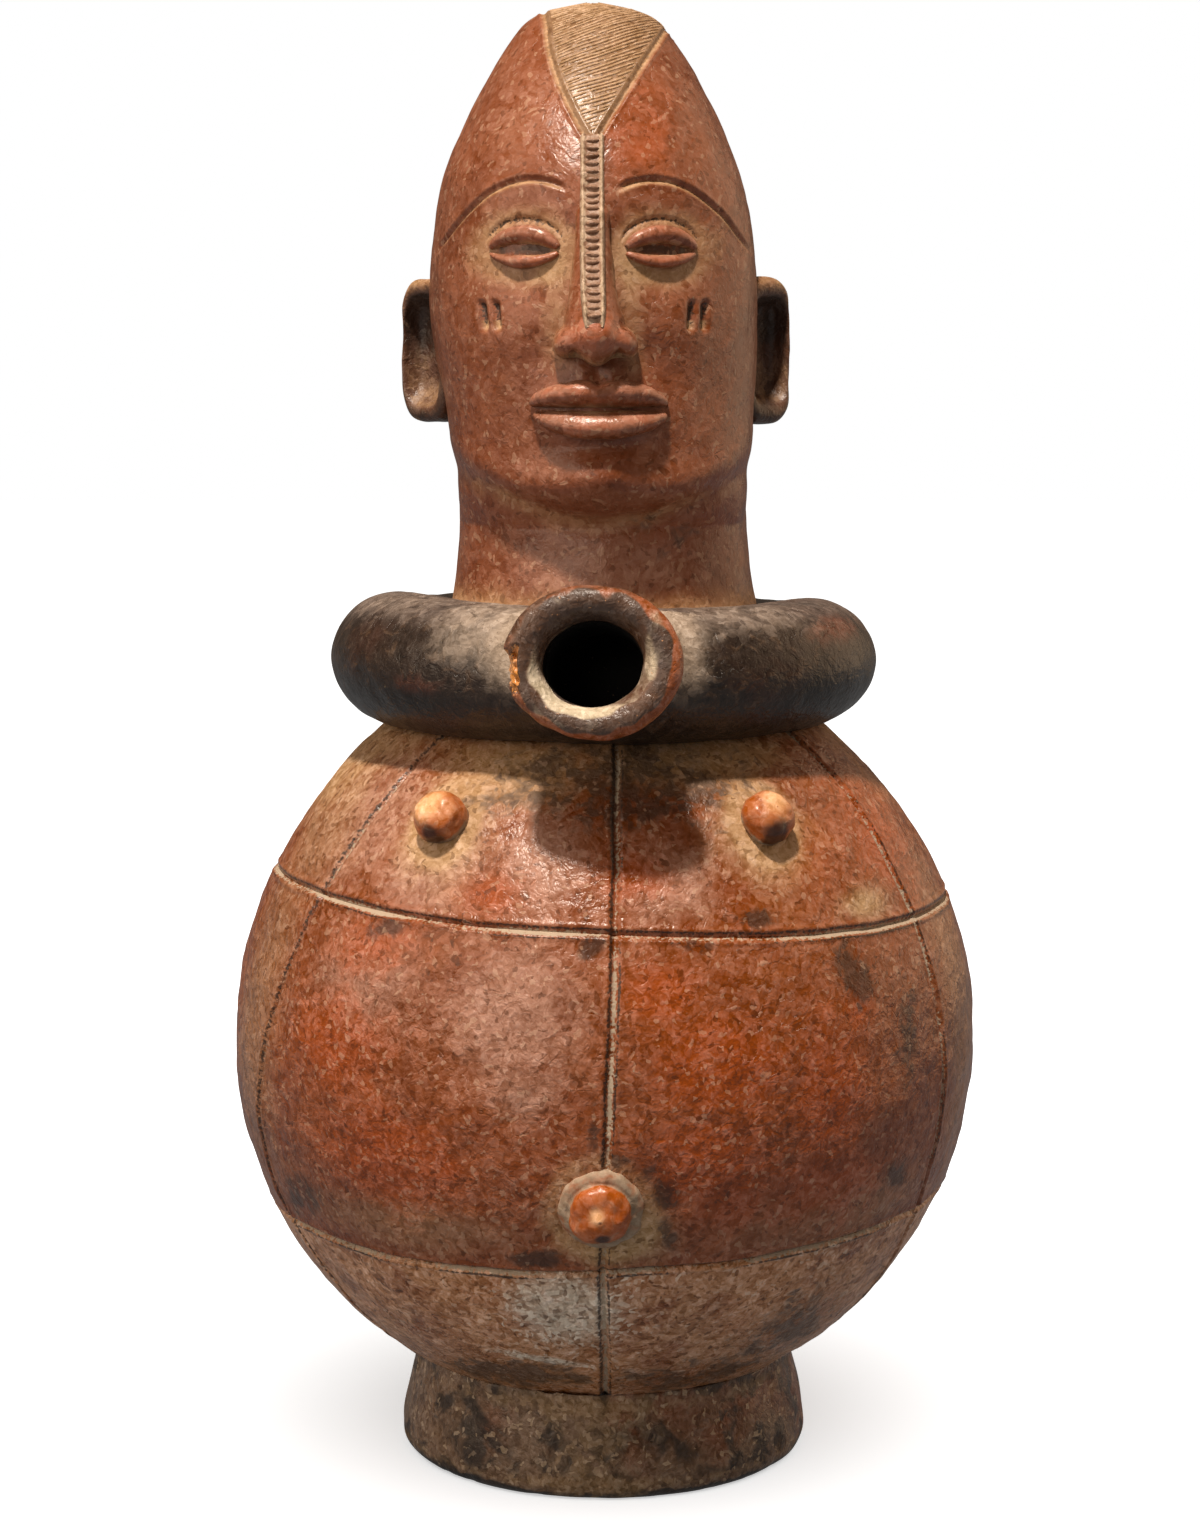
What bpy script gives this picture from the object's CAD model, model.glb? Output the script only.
import math

import bpy
import numpy as np
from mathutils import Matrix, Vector


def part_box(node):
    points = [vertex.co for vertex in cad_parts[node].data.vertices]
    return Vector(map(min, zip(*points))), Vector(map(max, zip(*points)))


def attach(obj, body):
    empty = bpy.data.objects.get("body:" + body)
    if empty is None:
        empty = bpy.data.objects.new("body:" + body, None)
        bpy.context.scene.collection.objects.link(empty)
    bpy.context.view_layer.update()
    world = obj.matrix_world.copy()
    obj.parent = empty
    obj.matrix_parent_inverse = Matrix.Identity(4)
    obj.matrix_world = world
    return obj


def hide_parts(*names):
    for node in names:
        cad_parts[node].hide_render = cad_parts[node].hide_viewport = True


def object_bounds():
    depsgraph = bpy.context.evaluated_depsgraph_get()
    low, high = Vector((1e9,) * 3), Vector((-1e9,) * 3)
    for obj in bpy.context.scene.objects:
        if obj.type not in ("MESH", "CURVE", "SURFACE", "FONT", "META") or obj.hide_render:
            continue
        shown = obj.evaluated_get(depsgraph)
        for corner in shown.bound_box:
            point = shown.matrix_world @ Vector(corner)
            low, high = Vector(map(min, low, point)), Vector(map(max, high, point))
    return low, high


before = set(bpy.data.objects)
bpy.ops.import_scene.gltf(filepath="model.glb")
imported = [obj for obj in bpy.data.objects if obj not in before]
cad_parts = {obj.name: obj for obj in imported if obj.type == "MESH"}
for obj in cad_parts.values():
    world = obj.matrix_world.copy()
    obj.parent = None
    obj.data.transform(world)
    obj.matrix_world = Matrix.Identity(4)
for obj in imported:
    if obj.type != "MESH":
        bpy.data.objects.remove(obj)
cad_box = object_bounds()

# Camera: stands before the jar a little below the height of its eyes and looks slightly down, as the
# photograph does. The lens follows from the photograph's height and focal length in pixels.
PHOTO_HEIGHT = 1535
PHOTO_FOCAL_LENGTH = 3318
SENSOR_HEIGHT = 36.0
CAMERA_PLACE = (-0.0008, -0.7308, 0.2511)
LOOK_DOWN = 7.64

scene = bpy.context.scene
scene.view_settings.view_transform = "Standard"
camera_data = bpy.data.cameras.new("camera")
camera_data.sensor_fit = "VERTICAL"
camera_data.sensor_height = SENSOR_HEIGHT
camera_data.lens = SENSOR_HEIGHT * PHOTO_FOCAL_LENGTH / PHOTO_HEIGHT
camera = bpy.data.objects.new("camera", camera_data)
camera.location = CAMERA_PLACE
camera.rotation_euler = (math.radians(90 - LOOK_DOWN), 0, 0)
scene.collection.objects.link(camera)
scene.camera = camera

# Studio: white paper under and behind the jar, a small lamp high in front and a little to the left, and
# large white screens at the left, right and front, which give the soft light and the pale rims. A wide
# panel lights the paper alone, which keeps the jar's shadow on it faint.
ROOM_LIGHT = 0.13
FLOOR_HALF_SIZE = 4.0
FLOOR_DROP = 0.0002
# the paper turns white between these distances from the jar, in metres, and glows with these strengths
WHITE_FROM, WHITE_AT = 0.08, 0.30
GLOW_NEAR, GLOW_FAR, GLOW_ON_JAR = 0.54, 1.0, 0.11
JAR_MIDDLE = Vector((0.0, 0.0, 0.15))
LAMPS = (
    # name, place and size in metres, power in watts, colour, and how the paper counts: left out or alone
    ("key_lamp", (-0.24, -0.64, 1.93), 0.16, 53.0, "#fff0e0", "EXCLUDE"),
    ("left_screen", (-1.15, -0.60, 0.72), 1.1, 6.6, "#ffe8d0", "EXCLUDE"),
    ("right_screen", (1.15, 0.45, 0.40), 1.6, 6.4, "#ffd8b0", "EXCLUDE"),
    ("front_screen", (-0.62, -1.35, 0.62), 0.7, 3.1, "#ffeedd", "EXCLUDE"),
    ("floor_panel", (0.0, -0.45, 1.30), 2.2, 32.0, "#ffffff", "INCLUDE"),
)


def linear(hex_colour):
    """Linear colour from an sRGB hex value."""
    parts = [int(hex_colour[i:i + 2], 16) / 255 for i in (1, 3, 5)]
    return [p / 12.92 if p <= 0.04045 else ((p + 0.055) / 1.055) ** 2.4 for p in parts] + [1.0]


def add_node(tree, kind, inputs=None, out=0, **settings):
    """Add a node with its settings and its inputs, which are values or links, and give back one output."""
    node = tree.nodes.new(kind)
    for name, value in settings.items():
        setattr(node, name, value)
    for key, value in (inputs or {}).items():
        if isinstance(value, bpy.types.NodeSocket):
            tree.links.new(value, node.inputs[key])
        else:
            node.inputs[key].default_value = value
    return node.outputs[out] if node.outputs else node


world = bpy.data.worlds.new("studio")
world.use_nodes = True
world.node_tree.nodes.clear()
scene.world = world
room_light, backdrop = (
    add_node(world.node_tree, "ShaderNodeBackground", {"Strength": strength, "Color": linear(tint)})
    for strength, tint in ((ROOM_LIGHT, "#ffead4"), (1.0, "#ffffff"))
)
seen_by_camera = add_node(world.node_tree, "ShaderNodeLightPath", out="Is Camera Ray")
inputs = {0: seen_by_camera, 1: room_light, 2: backdrop}
surroundings = add_node(world.node_tree, "ShaderNodeMixShader", inputs)
add_node(world.node_tree, "ShaderNodeOutputWorld", {"Surface": surroundings})

# matt white paper, overexposed round the jar: grey near the foot and plain white farther off
paper = bpy.data.materials.new("white_paper")
paper.use_nodes = True
seen_by_camera = add_node(paper.node_tree, "ShaderNodeLightPath", out="Is Camera Ray")
floor_place = add_node(paper.node_tree, "ShaderNodeTexCoord", out="Object")
from_jar = add_node(paper.node_tree, "ShaderNodeVectorMath", {0: floor_place}, "Value", operation="LENGTH")
inputs = {0: from_jar, 1: WHITE_FROM, 2: WHITE_AT, 3: GLOW_NEAR, 4: GLOW_FAR}
glow = add_node(paper.node_tree, "ShaderNodeMapRange", inputs, interpolation_type="SMOOTHSTEP")
inputs = {0: seen_by_camera, 2: GLOW_ON_JAR, 3: glow}
glow = add_node(paper.node_tree, "ShaderNodeMix", inputs, data_type="FLOAT")
inputs = {0: seen_by_camera, 6: linear("#6c6c6c"), 7: linear("#e7e7e7")}
paper_tone = add_node(paper.node_tree, "ShaderNodeMix", inputs, 2, data_type="RGBA")
paper_shader = paper.node_tree.nodes["Principled BSDF"]
paper_shader.inputs["Roughness"].default_value = 0.95
paper_shader.inputs["Specular IOR Level"].default_value = 0.0
paper_shader.inputs["Emission Color"].default_value = linear("#ffffff")
for socket, link in (("Base Color", paper_tone), ("Emission Strength", glow)):
    paper.node_tree.links.new(link, paper_shader.inputs[socket])
floor_mesh = bpy.data.meshes.new("floor")
floor_corners = [(x * FLOOR_HALF_SIZE, y * FLOOR_HALF_SIZE, cad_box[0].z - FLOOR_DROP)
                 for x, y in ((-1, -1), (1, -1), (1, 1), (-1, 1))]
floor_mesh.from_pydata(floor_corners, [], [(0, 1, 2, 3)])
floor_mesh.materials.append(paper)
floor = bpy.data.objects.new("floor", floor_mesh)
scene.collection.objects.link(floor)

for name, place, size, watts, colour, on_floor in LAMPS:
    lamp_data = bpy.data.lights.new(name, "AREA")
    lamp_data.shape = "DISK"
    lamp_data.size = size
    lamp_data.energy = watts
    lamp_data.color = linear(colour)[:3]
    lamp = bpy.data.objects.new(name, lamp_data)
    lamp.location = place
    lamp.rotation_euler = (JAR_MIDDLE - Vector(place)).to_track_quat("-Z", "Y").to_euler()
    scene.collection.objects.link(lamp)
    reached = bpy.data.collections.new(name + "_reach")
    reached.objects.link(floor)
    reached.collection_objects[0].light_linking.link_state = on_floor
    lamp.light_linking.receiver_collection = reached

# Foot ring: a flared coil of clay that the jar stands on, hollow underneath. It was pressed on the
# finished bowl and only rubbed over, so it is rough, and handling has left it mottled and dark.
MM = 0.001
FOOT_COLUMNS = 420
# stretches of (radius, height) in mm and their counts: resting face, outside, top, hollow
FOOT_OUTLINE = (
    ([(36.2, 0), (40, 0), (43.0, 0)], 14),
    ([(43.6, 0.2), (45.0, 1.5), (45.5, 4.2), (44.8, 9.5), (43.5, 15.5), (42.5, 20.2), (42.3, 22.9)], 64),
    ([(41, 22.1), (38, 20.3), (34.2, 18.3)], 8),
    ([(34.6, 12), (36, 7), (36.2, 1)], 10),
)


def between(a, b, c, d, t):
    """Points from b to c on the smooth curve that also passes through a and d."""
    return b + 0.5 * t * (c - a + t * (2 * a - 5 * b + 4 * c - d + t * (3 * (b - c) + d - a)))


def smooth_line(points, count):
    """Points at equal steps along a smooth curve through the given points."""
    points = np.array(points, float)
    before = np.vstack((2 * points[0] - points[1], points, 2 * points[-1] - points[-2]))
    t = np.linspace(0, 1, 24, endpoint=False)[:, None]
    pieces = [between(*four, t) for four in zip(before, before[1:], before[2:], before[3:])]
    curve = np.vstack(pieces + [points[-1:]])
    run = np.concatenate(([0], np.cumsum(np.linalg.norm(np.diff(curve, axis=0), axis=1))))
    steps = np.linspace(0, run[-1], count)
    return np.stack([np.interp(steps, run, axis) for axis in curve.T], -1)


def turn(outline, angles):
    """Rings of points from an outline of (radius, height) and angles from the front towards +X."""
    radius, height = outline[:, :1], outline[:, 1:]
    level = np.ones_like(angles)[None, :]
    return np.stack((radius * np.sin(angles), -radius * np.cos(angles), height * level), -1)


def outward(rings):
    """Outward directions of rings of points."""
    along = np.roll(rings, -1, 1) - np.roll(rings, 1, 1)
    upward = np.gradient(rings, axis=0)
    direction = np.cross(along, upward)
    return direction / np.maximum(np.linalg.norm(direction, axis=-1, keepdims=True), 1e-12)


def pushed(rings, rise):
    """Rings of points moved outwards by the rise at each point."""
    return rings + outward(rings) * rise[..., None]


def unevenness(points, size, seed, waves=16):
    """Smooth wander of a hand-made surface, about -1 to 1, with swells of about the given size in mm."""
    chance = np.random.default_rng(seed)
    directions = chance.normal(size=(waves, 3))
    directions /= np.linalg.norm(directions, axis=1, keepdims=True)
    directions *= 2 * math.pi / (size * MM * chance.uniform(0.75, 1.35, (waves, 1)))
    phases = chance.uniform(0, 2 * math.pi, waves)
    return np.sin(points @ directions.T + phases).sum(-1) / math.sqrt(waves)


def swells(points, *sizes):
    """Height of the hand-made surface over the smooth one, from heights and sizes in mm and seeds."""
    return MM * sum(height * unevenness(points, size, seed) for height, size, seed in sizes)


def bell(offset, width=1.0):
    """Bell curve, 1 where the offset is nothing and nearly 0 at twice the width."""
    return np.exp(-(offset / width) ** 2)


def unit(amount):
    """An amount held between 0 and 1."""
    return np.clip(amount, 0, 1)


def clay_piece(name, rings, material, marks, poles=None, normals=None):
    """Closed piece from rings of points: the last ring meets the first, or both ends close in a pole."""
    rows, columns, _ = rings.shape
    index = np.arange(rows * columns).reshape(rows, columns)
    here = index if poles is None else index[:-1]
    there = np.roll(index, -1, 0) if poles is None else index[1:]
    quads = np.stack((here, np.roll(here, -1, 1), np.roll(there, -1, 1), there), -1).reshape(-1, 4)
    faces = quads.tolist()
    points = rings.reshape(-1, 3)
    if poles is not None:
        points = np.vstack((points, poles))
        first, last = rows * columns, rows * columns + 1
        for pole, ring in ((first, index[0]), (last, index[-1])):
            pairs = zip(ring, np.roll(ring, -1))
            faces += [(pole, b, a) if pole == first else (pole, a, b) for a, b in pairs]
    mesh = bpy.data.meshes.new(name)
    mesh.from_pydata(points, [], faces)
    for mark, amount in marks.items():
        amount = np.broadcast_to(amount, (rows, columns)).reshape(-1)
        spare = np.zeros(len(points) - len(amount))
        data = mesh.attributes.new(mark, "FLOAT", "POINT").data
        data.foreach_set("value", np.concatenate((amount, spare)).astype(np.float32))
    mesh.materials.append(material)
    mesh.shade_smooth()
    if normals is not None:
        mesh.normals_split_custom_set_from_vertices(normals.reshape(-1, 3))
    piece = bpy.data.objects.new(name, mesh)
    scene.collection.objects.link(piece)
    return piece


def fired_clay(name, tones, stains, gloss, mottle=0.85, skin=0.40, lines=()):
    """Low-fired clay rubbed with a pebble: uneven tones from the fire, flakes of slip, stains and dust.

    Tones are three hex colours. A stain or a line is the mark it follows (or none), the field that breaks
    its edge, where it starts and is full, its colour and strength; stains lie under the mottling and lines
    over it. Gloss is the roughness of rubbed and of bare clay, mottle is the strength of the light and dark
    flakes, and skin is the height of the worked surface in mm.
    """
    material = bpy.data.materials.new(name)
    material.use_nodes = True
    tree = material.node_tree
    place = add_node(tree, "ShaderNodeTexCoord", out="Object")
    fields = {}
    # soft fields: size in mm, detail, wander and contrast; the grit of 0.7 mm is drawn coarse, to show
    for field, size, detail, wander, contrast in (
        ("cloud", 34, 3, 0.5, 2.2),
        ("patch", 11, 5, 0.8, 2.4),
        ("dab", 3.6, 3, 1.0, 2.6),
        ("fleck", 1.5, 2, 1.0, 2.6),
        ("grain", 0.7, 2, 0.0, 2.0),
    ):
        inputs = {"Vector": place, "Scale": 1 / (size * MM), "Detail": detail, "Distortion": wander}
        noise = add_node(tree, "ShaderNodeTexNoise", inputs)
        inputs = {0: noise, 1: contrast, 2: -0.5 * contrast}
        fields[field] = add_node(tree, "ShaderNodeMath", inputs, operation="MULTIPLY_ADD")
    # fields of cells with bent edges, which are chips of slip and strokes of the pebble: size and contrast
    drift_size = 5 * MM
    inputs = {"Vector": place, "Scale": 1 / drift_size, "Detail": 3.0}
    drift = add_node(tree, "ShaderNodeTexNoise", inputs, "Color")
    inputs = {0: drift, 1: (drift_size,) * 3, 2: place}
    bent = add_node(tree, "ShaderNodeVectorMath", inputs, operation="MULTIPLY_ADD")
    for field, size, contrast in (("chip", 2.1, 1.7), ("stroke", 0.95, 1.7)):
        inputs = {"Vector": bent, "Scale": 1 / (size * MM)}
        cells = add_node(tree, "ShaderNodeTexVoronoi", inputs, "Color")
        inputs = {0: cells, 1: contrast, 2: -0.5 * contrast}
        fields[field] = add_node(tree, "ShaderNodeMath", inputs, operation="MULTIPLY_ADD")
    inputs = {"Vector": bent, "Scale": 1 / (2.6 * MM)}
    to_edge = add_node(tree, "ShaderNodeTexVoronoi", inputs, "Distance", feature="DISTANCE_TO_EDGE")
    inputs = {0: to_edge, 1: 0.02, 2: 0.13, 3: 1.0, 4: 0.0}
    crease = add_node(tree, "ShaderNodeMapRange", inputs, interpolation_type="SMOOTHSTEP")
    creased = add_node(tree, "ShaderNodeMapRange", {0: fields["dab"], 1: -0.10, 2: 0.50})
    fields["crease"] = add_node(tree, "ShaderNodeMath", {0: crease, 1: creased}, operation="MULTIPLY")
    flake = 0.0
    for field, share in (("patch", 0.55), ("chip", 0.24), ("dab", 0.20)):
        inputs = {0: fields[field], 1: share, 2: flake}
        flake = add_node(tree, "ShaderNodeMath", inputs, operation="MULTIPLY_ADD")
    fields["flake"] = flake
    fields["haze"] = add_node(tree, "ShaderNodeMath", {0: flake, 1: 0.5}, operation="MULTIPLY")

    paint = linear(tones[0])
    for field, colour in (("cloud", tones[1]), ("flake", tones[2])):
        mask = add_node(tree, "ShaderNodeMapRange", {0: fields[field], 1: -0.35, 2: 0.55})
        inputs = {0: mask, 6: paint, 7: linear(colour)}
        paint = add_node(tree, "ShaderNodeMix", inputs, 2, data_type="RGBA")
    inputs = {0: flake, 1: -0.5, 2: 0.5, 3: gloss[0], 4: gloss[1]}
    rough = add_node(tree, "ShaderNodeMapRange", inputs)
    def laid_over(paint, rough, layers):
        """Colour and roughness with stains or lines laid over them."""
        for mark, field, start, full, colour, strength in layers:
            amount = fields[field]
            if mark:
                spread = add_node(tree, "ShaderNodeAttribute", out="Fac", attribute_name=mark)
                amount = add_node(tree, "ShaderNodeMath", {0: amount, 1: spread}, operation="ADD")
            inputs = {0: amount, 1: start, 2: full, 3: 0.0, 4: strength}
            mask = add_node(tree, "ShaderNodeMapRange", inputs, interpolation_type="SMOOTHSTEP")
            inputs = {0: mask, 6: paint, 7: linear(colour)}
            paint = add_node(tree, "ShaderNodeMix", inputs, 2, data_type="RGBA")
            if mark in ("dust", "lip", "deep"):
                rough = add_node(tree, "ShaderNodeMix", {0: mask, 2: rough, 3: 0.85}, data_type="FLOAT")
        return paint, rough

    paint, rough = laid_over(paint, rough, stains)
    light = 1.0
    tints = {"dab": 0.26, "chip": 0.22, "stroke": 0.32, "fleck": 0.28, "grain": 0.10, "crease": -0.22}
    for field, share in tints.items():
        inputs = {0: fields[field], 1: share * mottle, 2: light}
        light = add_node(tree, "ShaderNodeMath", inputs, operation="MULTIPLY_ADD")
    strong = add_node(tree, "ShaderNodeMath", {0: light, 1: -0.45, 2: 1.45}, operation="MULTIPLY_ADD")
    inputs = {"Saturation": strong, "Value": light, "Color": paint}
    paint = add_node(tree, "ShaderNodeHueSaturation", inputs)
    paint, rough = laid_over(paint, rough, lines)

    relief = fields["dab"]
    heights = {"chip": 0.30, "stroke": 0.14, "fleck": 0.35, "grain": 0.10, "crease": -0.45}
    for field, share in heights.items():
        inputs = {0: fields[field], 1: share, 2: relief}
        relief = add_node(tree, "ShaderNodeMath", inputs, operation="MULTIPLY_ADD")
    bump = add_node(tree, "ShaderNodeBump", {"Height": relief, "Strength": 0.55, "Distance": skin * MM})
    shader = tree.nodes["Principled BSDF"]
    shader.inputs["Specular IOR Level"].default_value = 0.45
    for socket, link in (("Base Color", paint), ("Roughness", rough), ("Normal", bump)):
        tree.links.new(link, shader.inputs[socket])
    return material


# clay rubbed over while damp and handled since: a dull olive brown, mottled nearly black
olive_clay = fired_clay(
    "rubbed_clay_olive",
    ("#7a614d", "#634d3b", "#8b7159"),
    (
        (None, "cloud", 0.05, 0.35, "#80492a", 0.70),
        (None, "patch", -0.12, 0.22, "#2b231d", 0.82),
        (None, "flake", 0.00, 0.22, "#35281f", 0.75),
        (None, "stroke", 0.50, 0.62, "#a89072", 0.55),
        ("soot", "flake", 0.40, 0.70, "#231d1a", 0.90),
        ("dust", "flake", 0.30, 0.90, "#94795a", 0.75),
    ),
    gloss=(0.30, 0.50),
    mottle=1.35,
)
foot_angles = np.linspace(0, 2 * math.pi, FOOT_COLUMNS, endpoint=False)
foot_rings = turn(np.vstack([smooth_line(*stretch) for stretch in FOOT_OUTLINE]) * MM, foot_angles)
foot_pits = np.maximum(0, unevenness(foot_rings, 6.5, 13) - 0.9)
foot_rise = swells(foot_rings, (0.32, 34, 11), (0.16, 9, 12)) - 0.5 * MM * foot_pits
on_table = bell(foot_rings[..., 2], 2.5 * MM)
foot_rings = pushed(foot_rings, foot_rise * (1 - 0.8 * on_table))
foot_rings[..., 2] = np.maximum(foot_rings[..., 2], 0)
foot_x, foot_y, foot_height = np.moveaxis(foot_rings, -1, 0) / MM
foot_stains = unit(unevenness(foot_rings, 16, 14)) * (foot_height < 17)
foot_marks = {
    "soot": 1.1 * bell(foot_height - 0.4, 1.5) + 0.4 * foot_pits + 0.5 * foot_stains,
    "dust": 0.5 * bell(foot_height - 3.5, 1.5) + 0.45 * bell(foot_height - 20, 2.5)
    + 0.6 * bell(foot_x + 3, 16) * (foot_y < 0),
}
foot = clay_piece("foot", foot_rings, olive_clay, foot_marks)
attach(foot, "root")
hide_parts("foot_ring")

# Belly: a pinched bowl, a coil-built wall and a closing shoulder, luted together, rubbed with a
# pebble and fired in the open. Two incised rings cover the seams, and six lines run down across them.
BELLY_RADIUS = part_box("belly_wall")[1].x
BELLY_MIDDLE = 92.1 * MM
BELLY_RISE = 88.3 * MM
BELLY_DROP = 81.6 * MM
BELLY_POWER = 1.95
BELLY_THICKNESS = 7.0 * MM
NECK_HOLE = 25.0 * MM
BOWL_LAST_RING = 8.0 * MM
# share of the bowl's height that the foot hides, and the rings spent on it
BOWL_HIDDEN, HIDDEN_ROWS = 0.40, 10
# mesh steps in mm: length, fine step at both ends, coarse step between them, reach of the fine ones
COLUMN_STEPS = (86, 0.34, 1.0, 3)
WALL_STEPS = (73, 0.3, 0.62, 2.5)
BOWL_STEPS = (60, 0.3, 0.62, 2.5)
# CAD node, angle in degrees, height and half width in mm of each pellet
KNOBS = (
    ("breast_knob_left", 31.7, 148.5, 5.6),
    ("breast_knob_right", -31.7, 148.5, 5.6),
    ("navel_knob", -0.5, 74.0, 8.6),
)
# heights in mm and angles in degrees along each line, its depth in mm, and the dust left on its right wall
BELLY_LINES = (
    ((172, 145, 106, 60, 20), (3.6, 2.1, 1.1, -0.3, 0.5), 0.95, 1.10),
    ((172, 129, 100, 73, 40), (56.5, 60.2, 61.8, 61.0, 65.0), 0.75, 0.95),
    ((172, 129, 90, 60, 40), (118, 120, 121, 119, 118), 0.75, 0.80),
    ((172, 129, 90, 60, 40), (180, 181, 179, 178, 180), 0.75, 0.80),
    ((172, 129, 90, 60, 40), (241, 240, 238, 239, 240), 0.75, 0.80),
    ((172, 145, 110, 68, 50), (314, 308.4, 300.8, 293.5, 297.5), 0.85, 0.88),
)
LINE_WIDTH, LINE_LIP = 0.70, 0.16
RING_LIP = 0.20
# flats where the coils were pressed outwards: angle, height, reach in degrees and in mm, swell in mm
WALL_SWELLS = ((76, 153, 22, 13, 1.3), (88, 112, 26, 24, 0.8))
# marks of fire, hands and dust: angle in degrees, then height, half width and half height in mm, tilt
BELLY_MARKS = {
    "ember": (
        (-39, 124, 13, 8, 10), (-42, 104, 16, 14, 0), (-19, 136, 7, 4, 0), (-34, 82, 20, 13, 0),
        (-23, 81, 4, 4, 0), (17, 103, 19, 13, -10), (41, 111, 5, 5, 0), (15, 82, 19, 15, 0),
        (9, 118, 9, 7, 0), (34, 96, 12, 18, 0), (34, 74, 20, 10, 0), (20, 73, 9, 6, 0),
        (5, 140, 7, 5, 0), (38, 142, 10, 8, 20), (62, 142, 16, 12, 0), (150, 110, 24, 18, 0),
        (215, 90, 24, 20, 30), (105, 85, 20, 20, 0), (-105, 105, 22, 26, 0), (175, 140, 26, 12, 0),
        (255, 60, 24, 14, 0),
    ),
    "soot": (
        (-2, 126.4, 4.0, 3.2, 30), (14, 126.4, 4.2, 3.2, -25), (-37, 128.2, 7, 3.0, 15),
        (42, 118, 7, 8, -35), (52, 104, 6, 12, 0), (24, 131, 7, 3, 0), (4, 157, 34, 11, 0),
        (1.5, 85, 5, 3.2, -15), (6, 82.5, 4.5, 4, -45), (8.5, 77, 3.2, 5, 10), (9.5, 68, 2.4, 6, 20),
        (-1.5, 91, 2.4, 8, 0), (-57, 66, 14, 6, 20), (-10, 62, 7, 3, 0), (50, 74, 6, 4, -15),
        (-20, 28, 26, 7, 0), (20, 28, 26, 7, 0), (40, 40, 16, 12, 0), (170, 60, 30, 20, 10),
        (200, 140, 24, 12, 0), (100, 120, 14, 18, 0), (-100, 80, 16, 26, 10),
    ),
    "rub": (
        (-11, 143, 9, 11, 0), (-13, 112, 15, 16, 0), (-11, 99, 9, 7, 0), (11, 138, 11, 8, 0),
        (-32, 140, 14, 9, 10), (-40, 118, 14, 14, 0), (-52, 148, 18, 14, 0), (-9, 50, 9, 8, 0),
        (190, 110, 30, 20, 0), (-140, 120, 30, 20, 0),
    ),
    "ash": (
        (-67, 105, 13, 36, 0), (-64, 142, 14, 10, 0), (72, 103, 12, 36, 0), (50, 131, 9, 4, 8),
        (4, 68, 10, 9, 0), (-6.5, 50, 12, 10, 0), (-13, 35, 11, 1.2, -8), (-32, 67, 26, 6, 0),
        (38, 69, 28, 8, 0), (120, 100, 12, 30, 0), (240, 110, 14, 30, 0),
    ),
    "dust": (
        (-31.7, 147, 10, 9, 0), (31.7, 146, 11, 10, 0), (-20, 158, 20, 6, 0), (20, 160, 24, 5, 0),
        (48, 131, 7, 3, 0), (3, 68, 9, 6, 0), (120, 155, 40, 12, 0), (200, 155, 40, 12, 0),
        (270, 155, 30, 12, 0),
    ),
}


def belly_radius(height, inset=0.0):
    """Radius of the belly at a height, or of a surface inside it."""
    half_height = np.where(height > BELLY_MIDDLE, BELLY_RISE, BELLY_DROP) - inset
    share = unit(np.abs(height - BELLY_MIDDLE) / half_height)
    return (BELLY_RADIUS - inset) * (1 - share ** BELLY_POWER) ** (1 / BELLY_POWER)


def belly_height(radius, side):
    """Height at which the belly narrows to a radius, above (1) or below (-1) its middle."""
    half_height = BELLY_RISE if side > 0 else BELLY_DROP
    share = radius / BELLY_RADIUS
    return BELLY_MIDDLE + side * half_height * (1 - share ** BELLY_POWER) ** (1 / BELLY_POWER)


profile_turn = np.linspace(-math.pi / 2, math.pi / 2, 4001)
profile_half = np.where(profile_turn > 0, BELLY_RISE, BELLY_DROP) * np.sign(profile_turn)
profile_height = BELLY_MIDDLE + profile_half * np.abs(np.sin(profile_turn)) ** (2 / BELLY_POWER)
profile_radius = BELLY_RADIUS * np.abs(np.cos(profile_turn)) ** (2 / BELLY_POWER)
profile_steps = np.hypot(np.diff(profile_radius), np.diff(profile_height))
profile_run = np.concatenate(([0], np.cumsum(profile_steps)))


def half_turn(angle):
    """The same angle, between half a turn back and half a turn on."""
    return np.remainder(angle + math.pi, 2 * math.pi) - math.pi


def belly_line(line, height):
    """Angle of an incised line at a height, with the corners of its points eased."""
    down, angles = -np.array(line[0]), line[1]
    near = [np.interp(-height / MM + step, down, angles) for step in (-8, -4, 0, 4, 8)]
    return np.radians(sum(near) / len(near))


def upper_ring(angle):
    """Height of the incised ring under the shoulder, which the hand let slope."""
    return (129.0 - 3.4 * np.sin(angle) + 0.25 * np.sin(5 * angle + 1)) * MM


def lower_ring(angle):
    """Height of the incised ring above the bowl."""
    return (60.2 + 1.2 * np.sin(angle - 0.26) + 0.9 * np.sin(2 * angle - 0.7)) * MM


# ring, half width and depth in mm, dust left in it, and spread of its dark edges
RING_CUTS = ((upper_ring, 0.62, 0.75, 1.25, 0.40), (lower_ring, 0.50, 0.80, 0.95, 0.75))


def graded(length, fine, coarse, reach):
    """Steps from 0 to 1 along a length, fine within reach of both ends and coarse between them."""
    steps = [0.0]
    while steps[-1] < length:
        from_end = min(steps[-1], length - steps[-1])
        ease = min(max(from_end / reach - 1, 0), 1)
        steps.append(steps[-1] + fine + (coarse - fine) * ease)
    return np.array(steps) / steps[-1]


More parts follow.
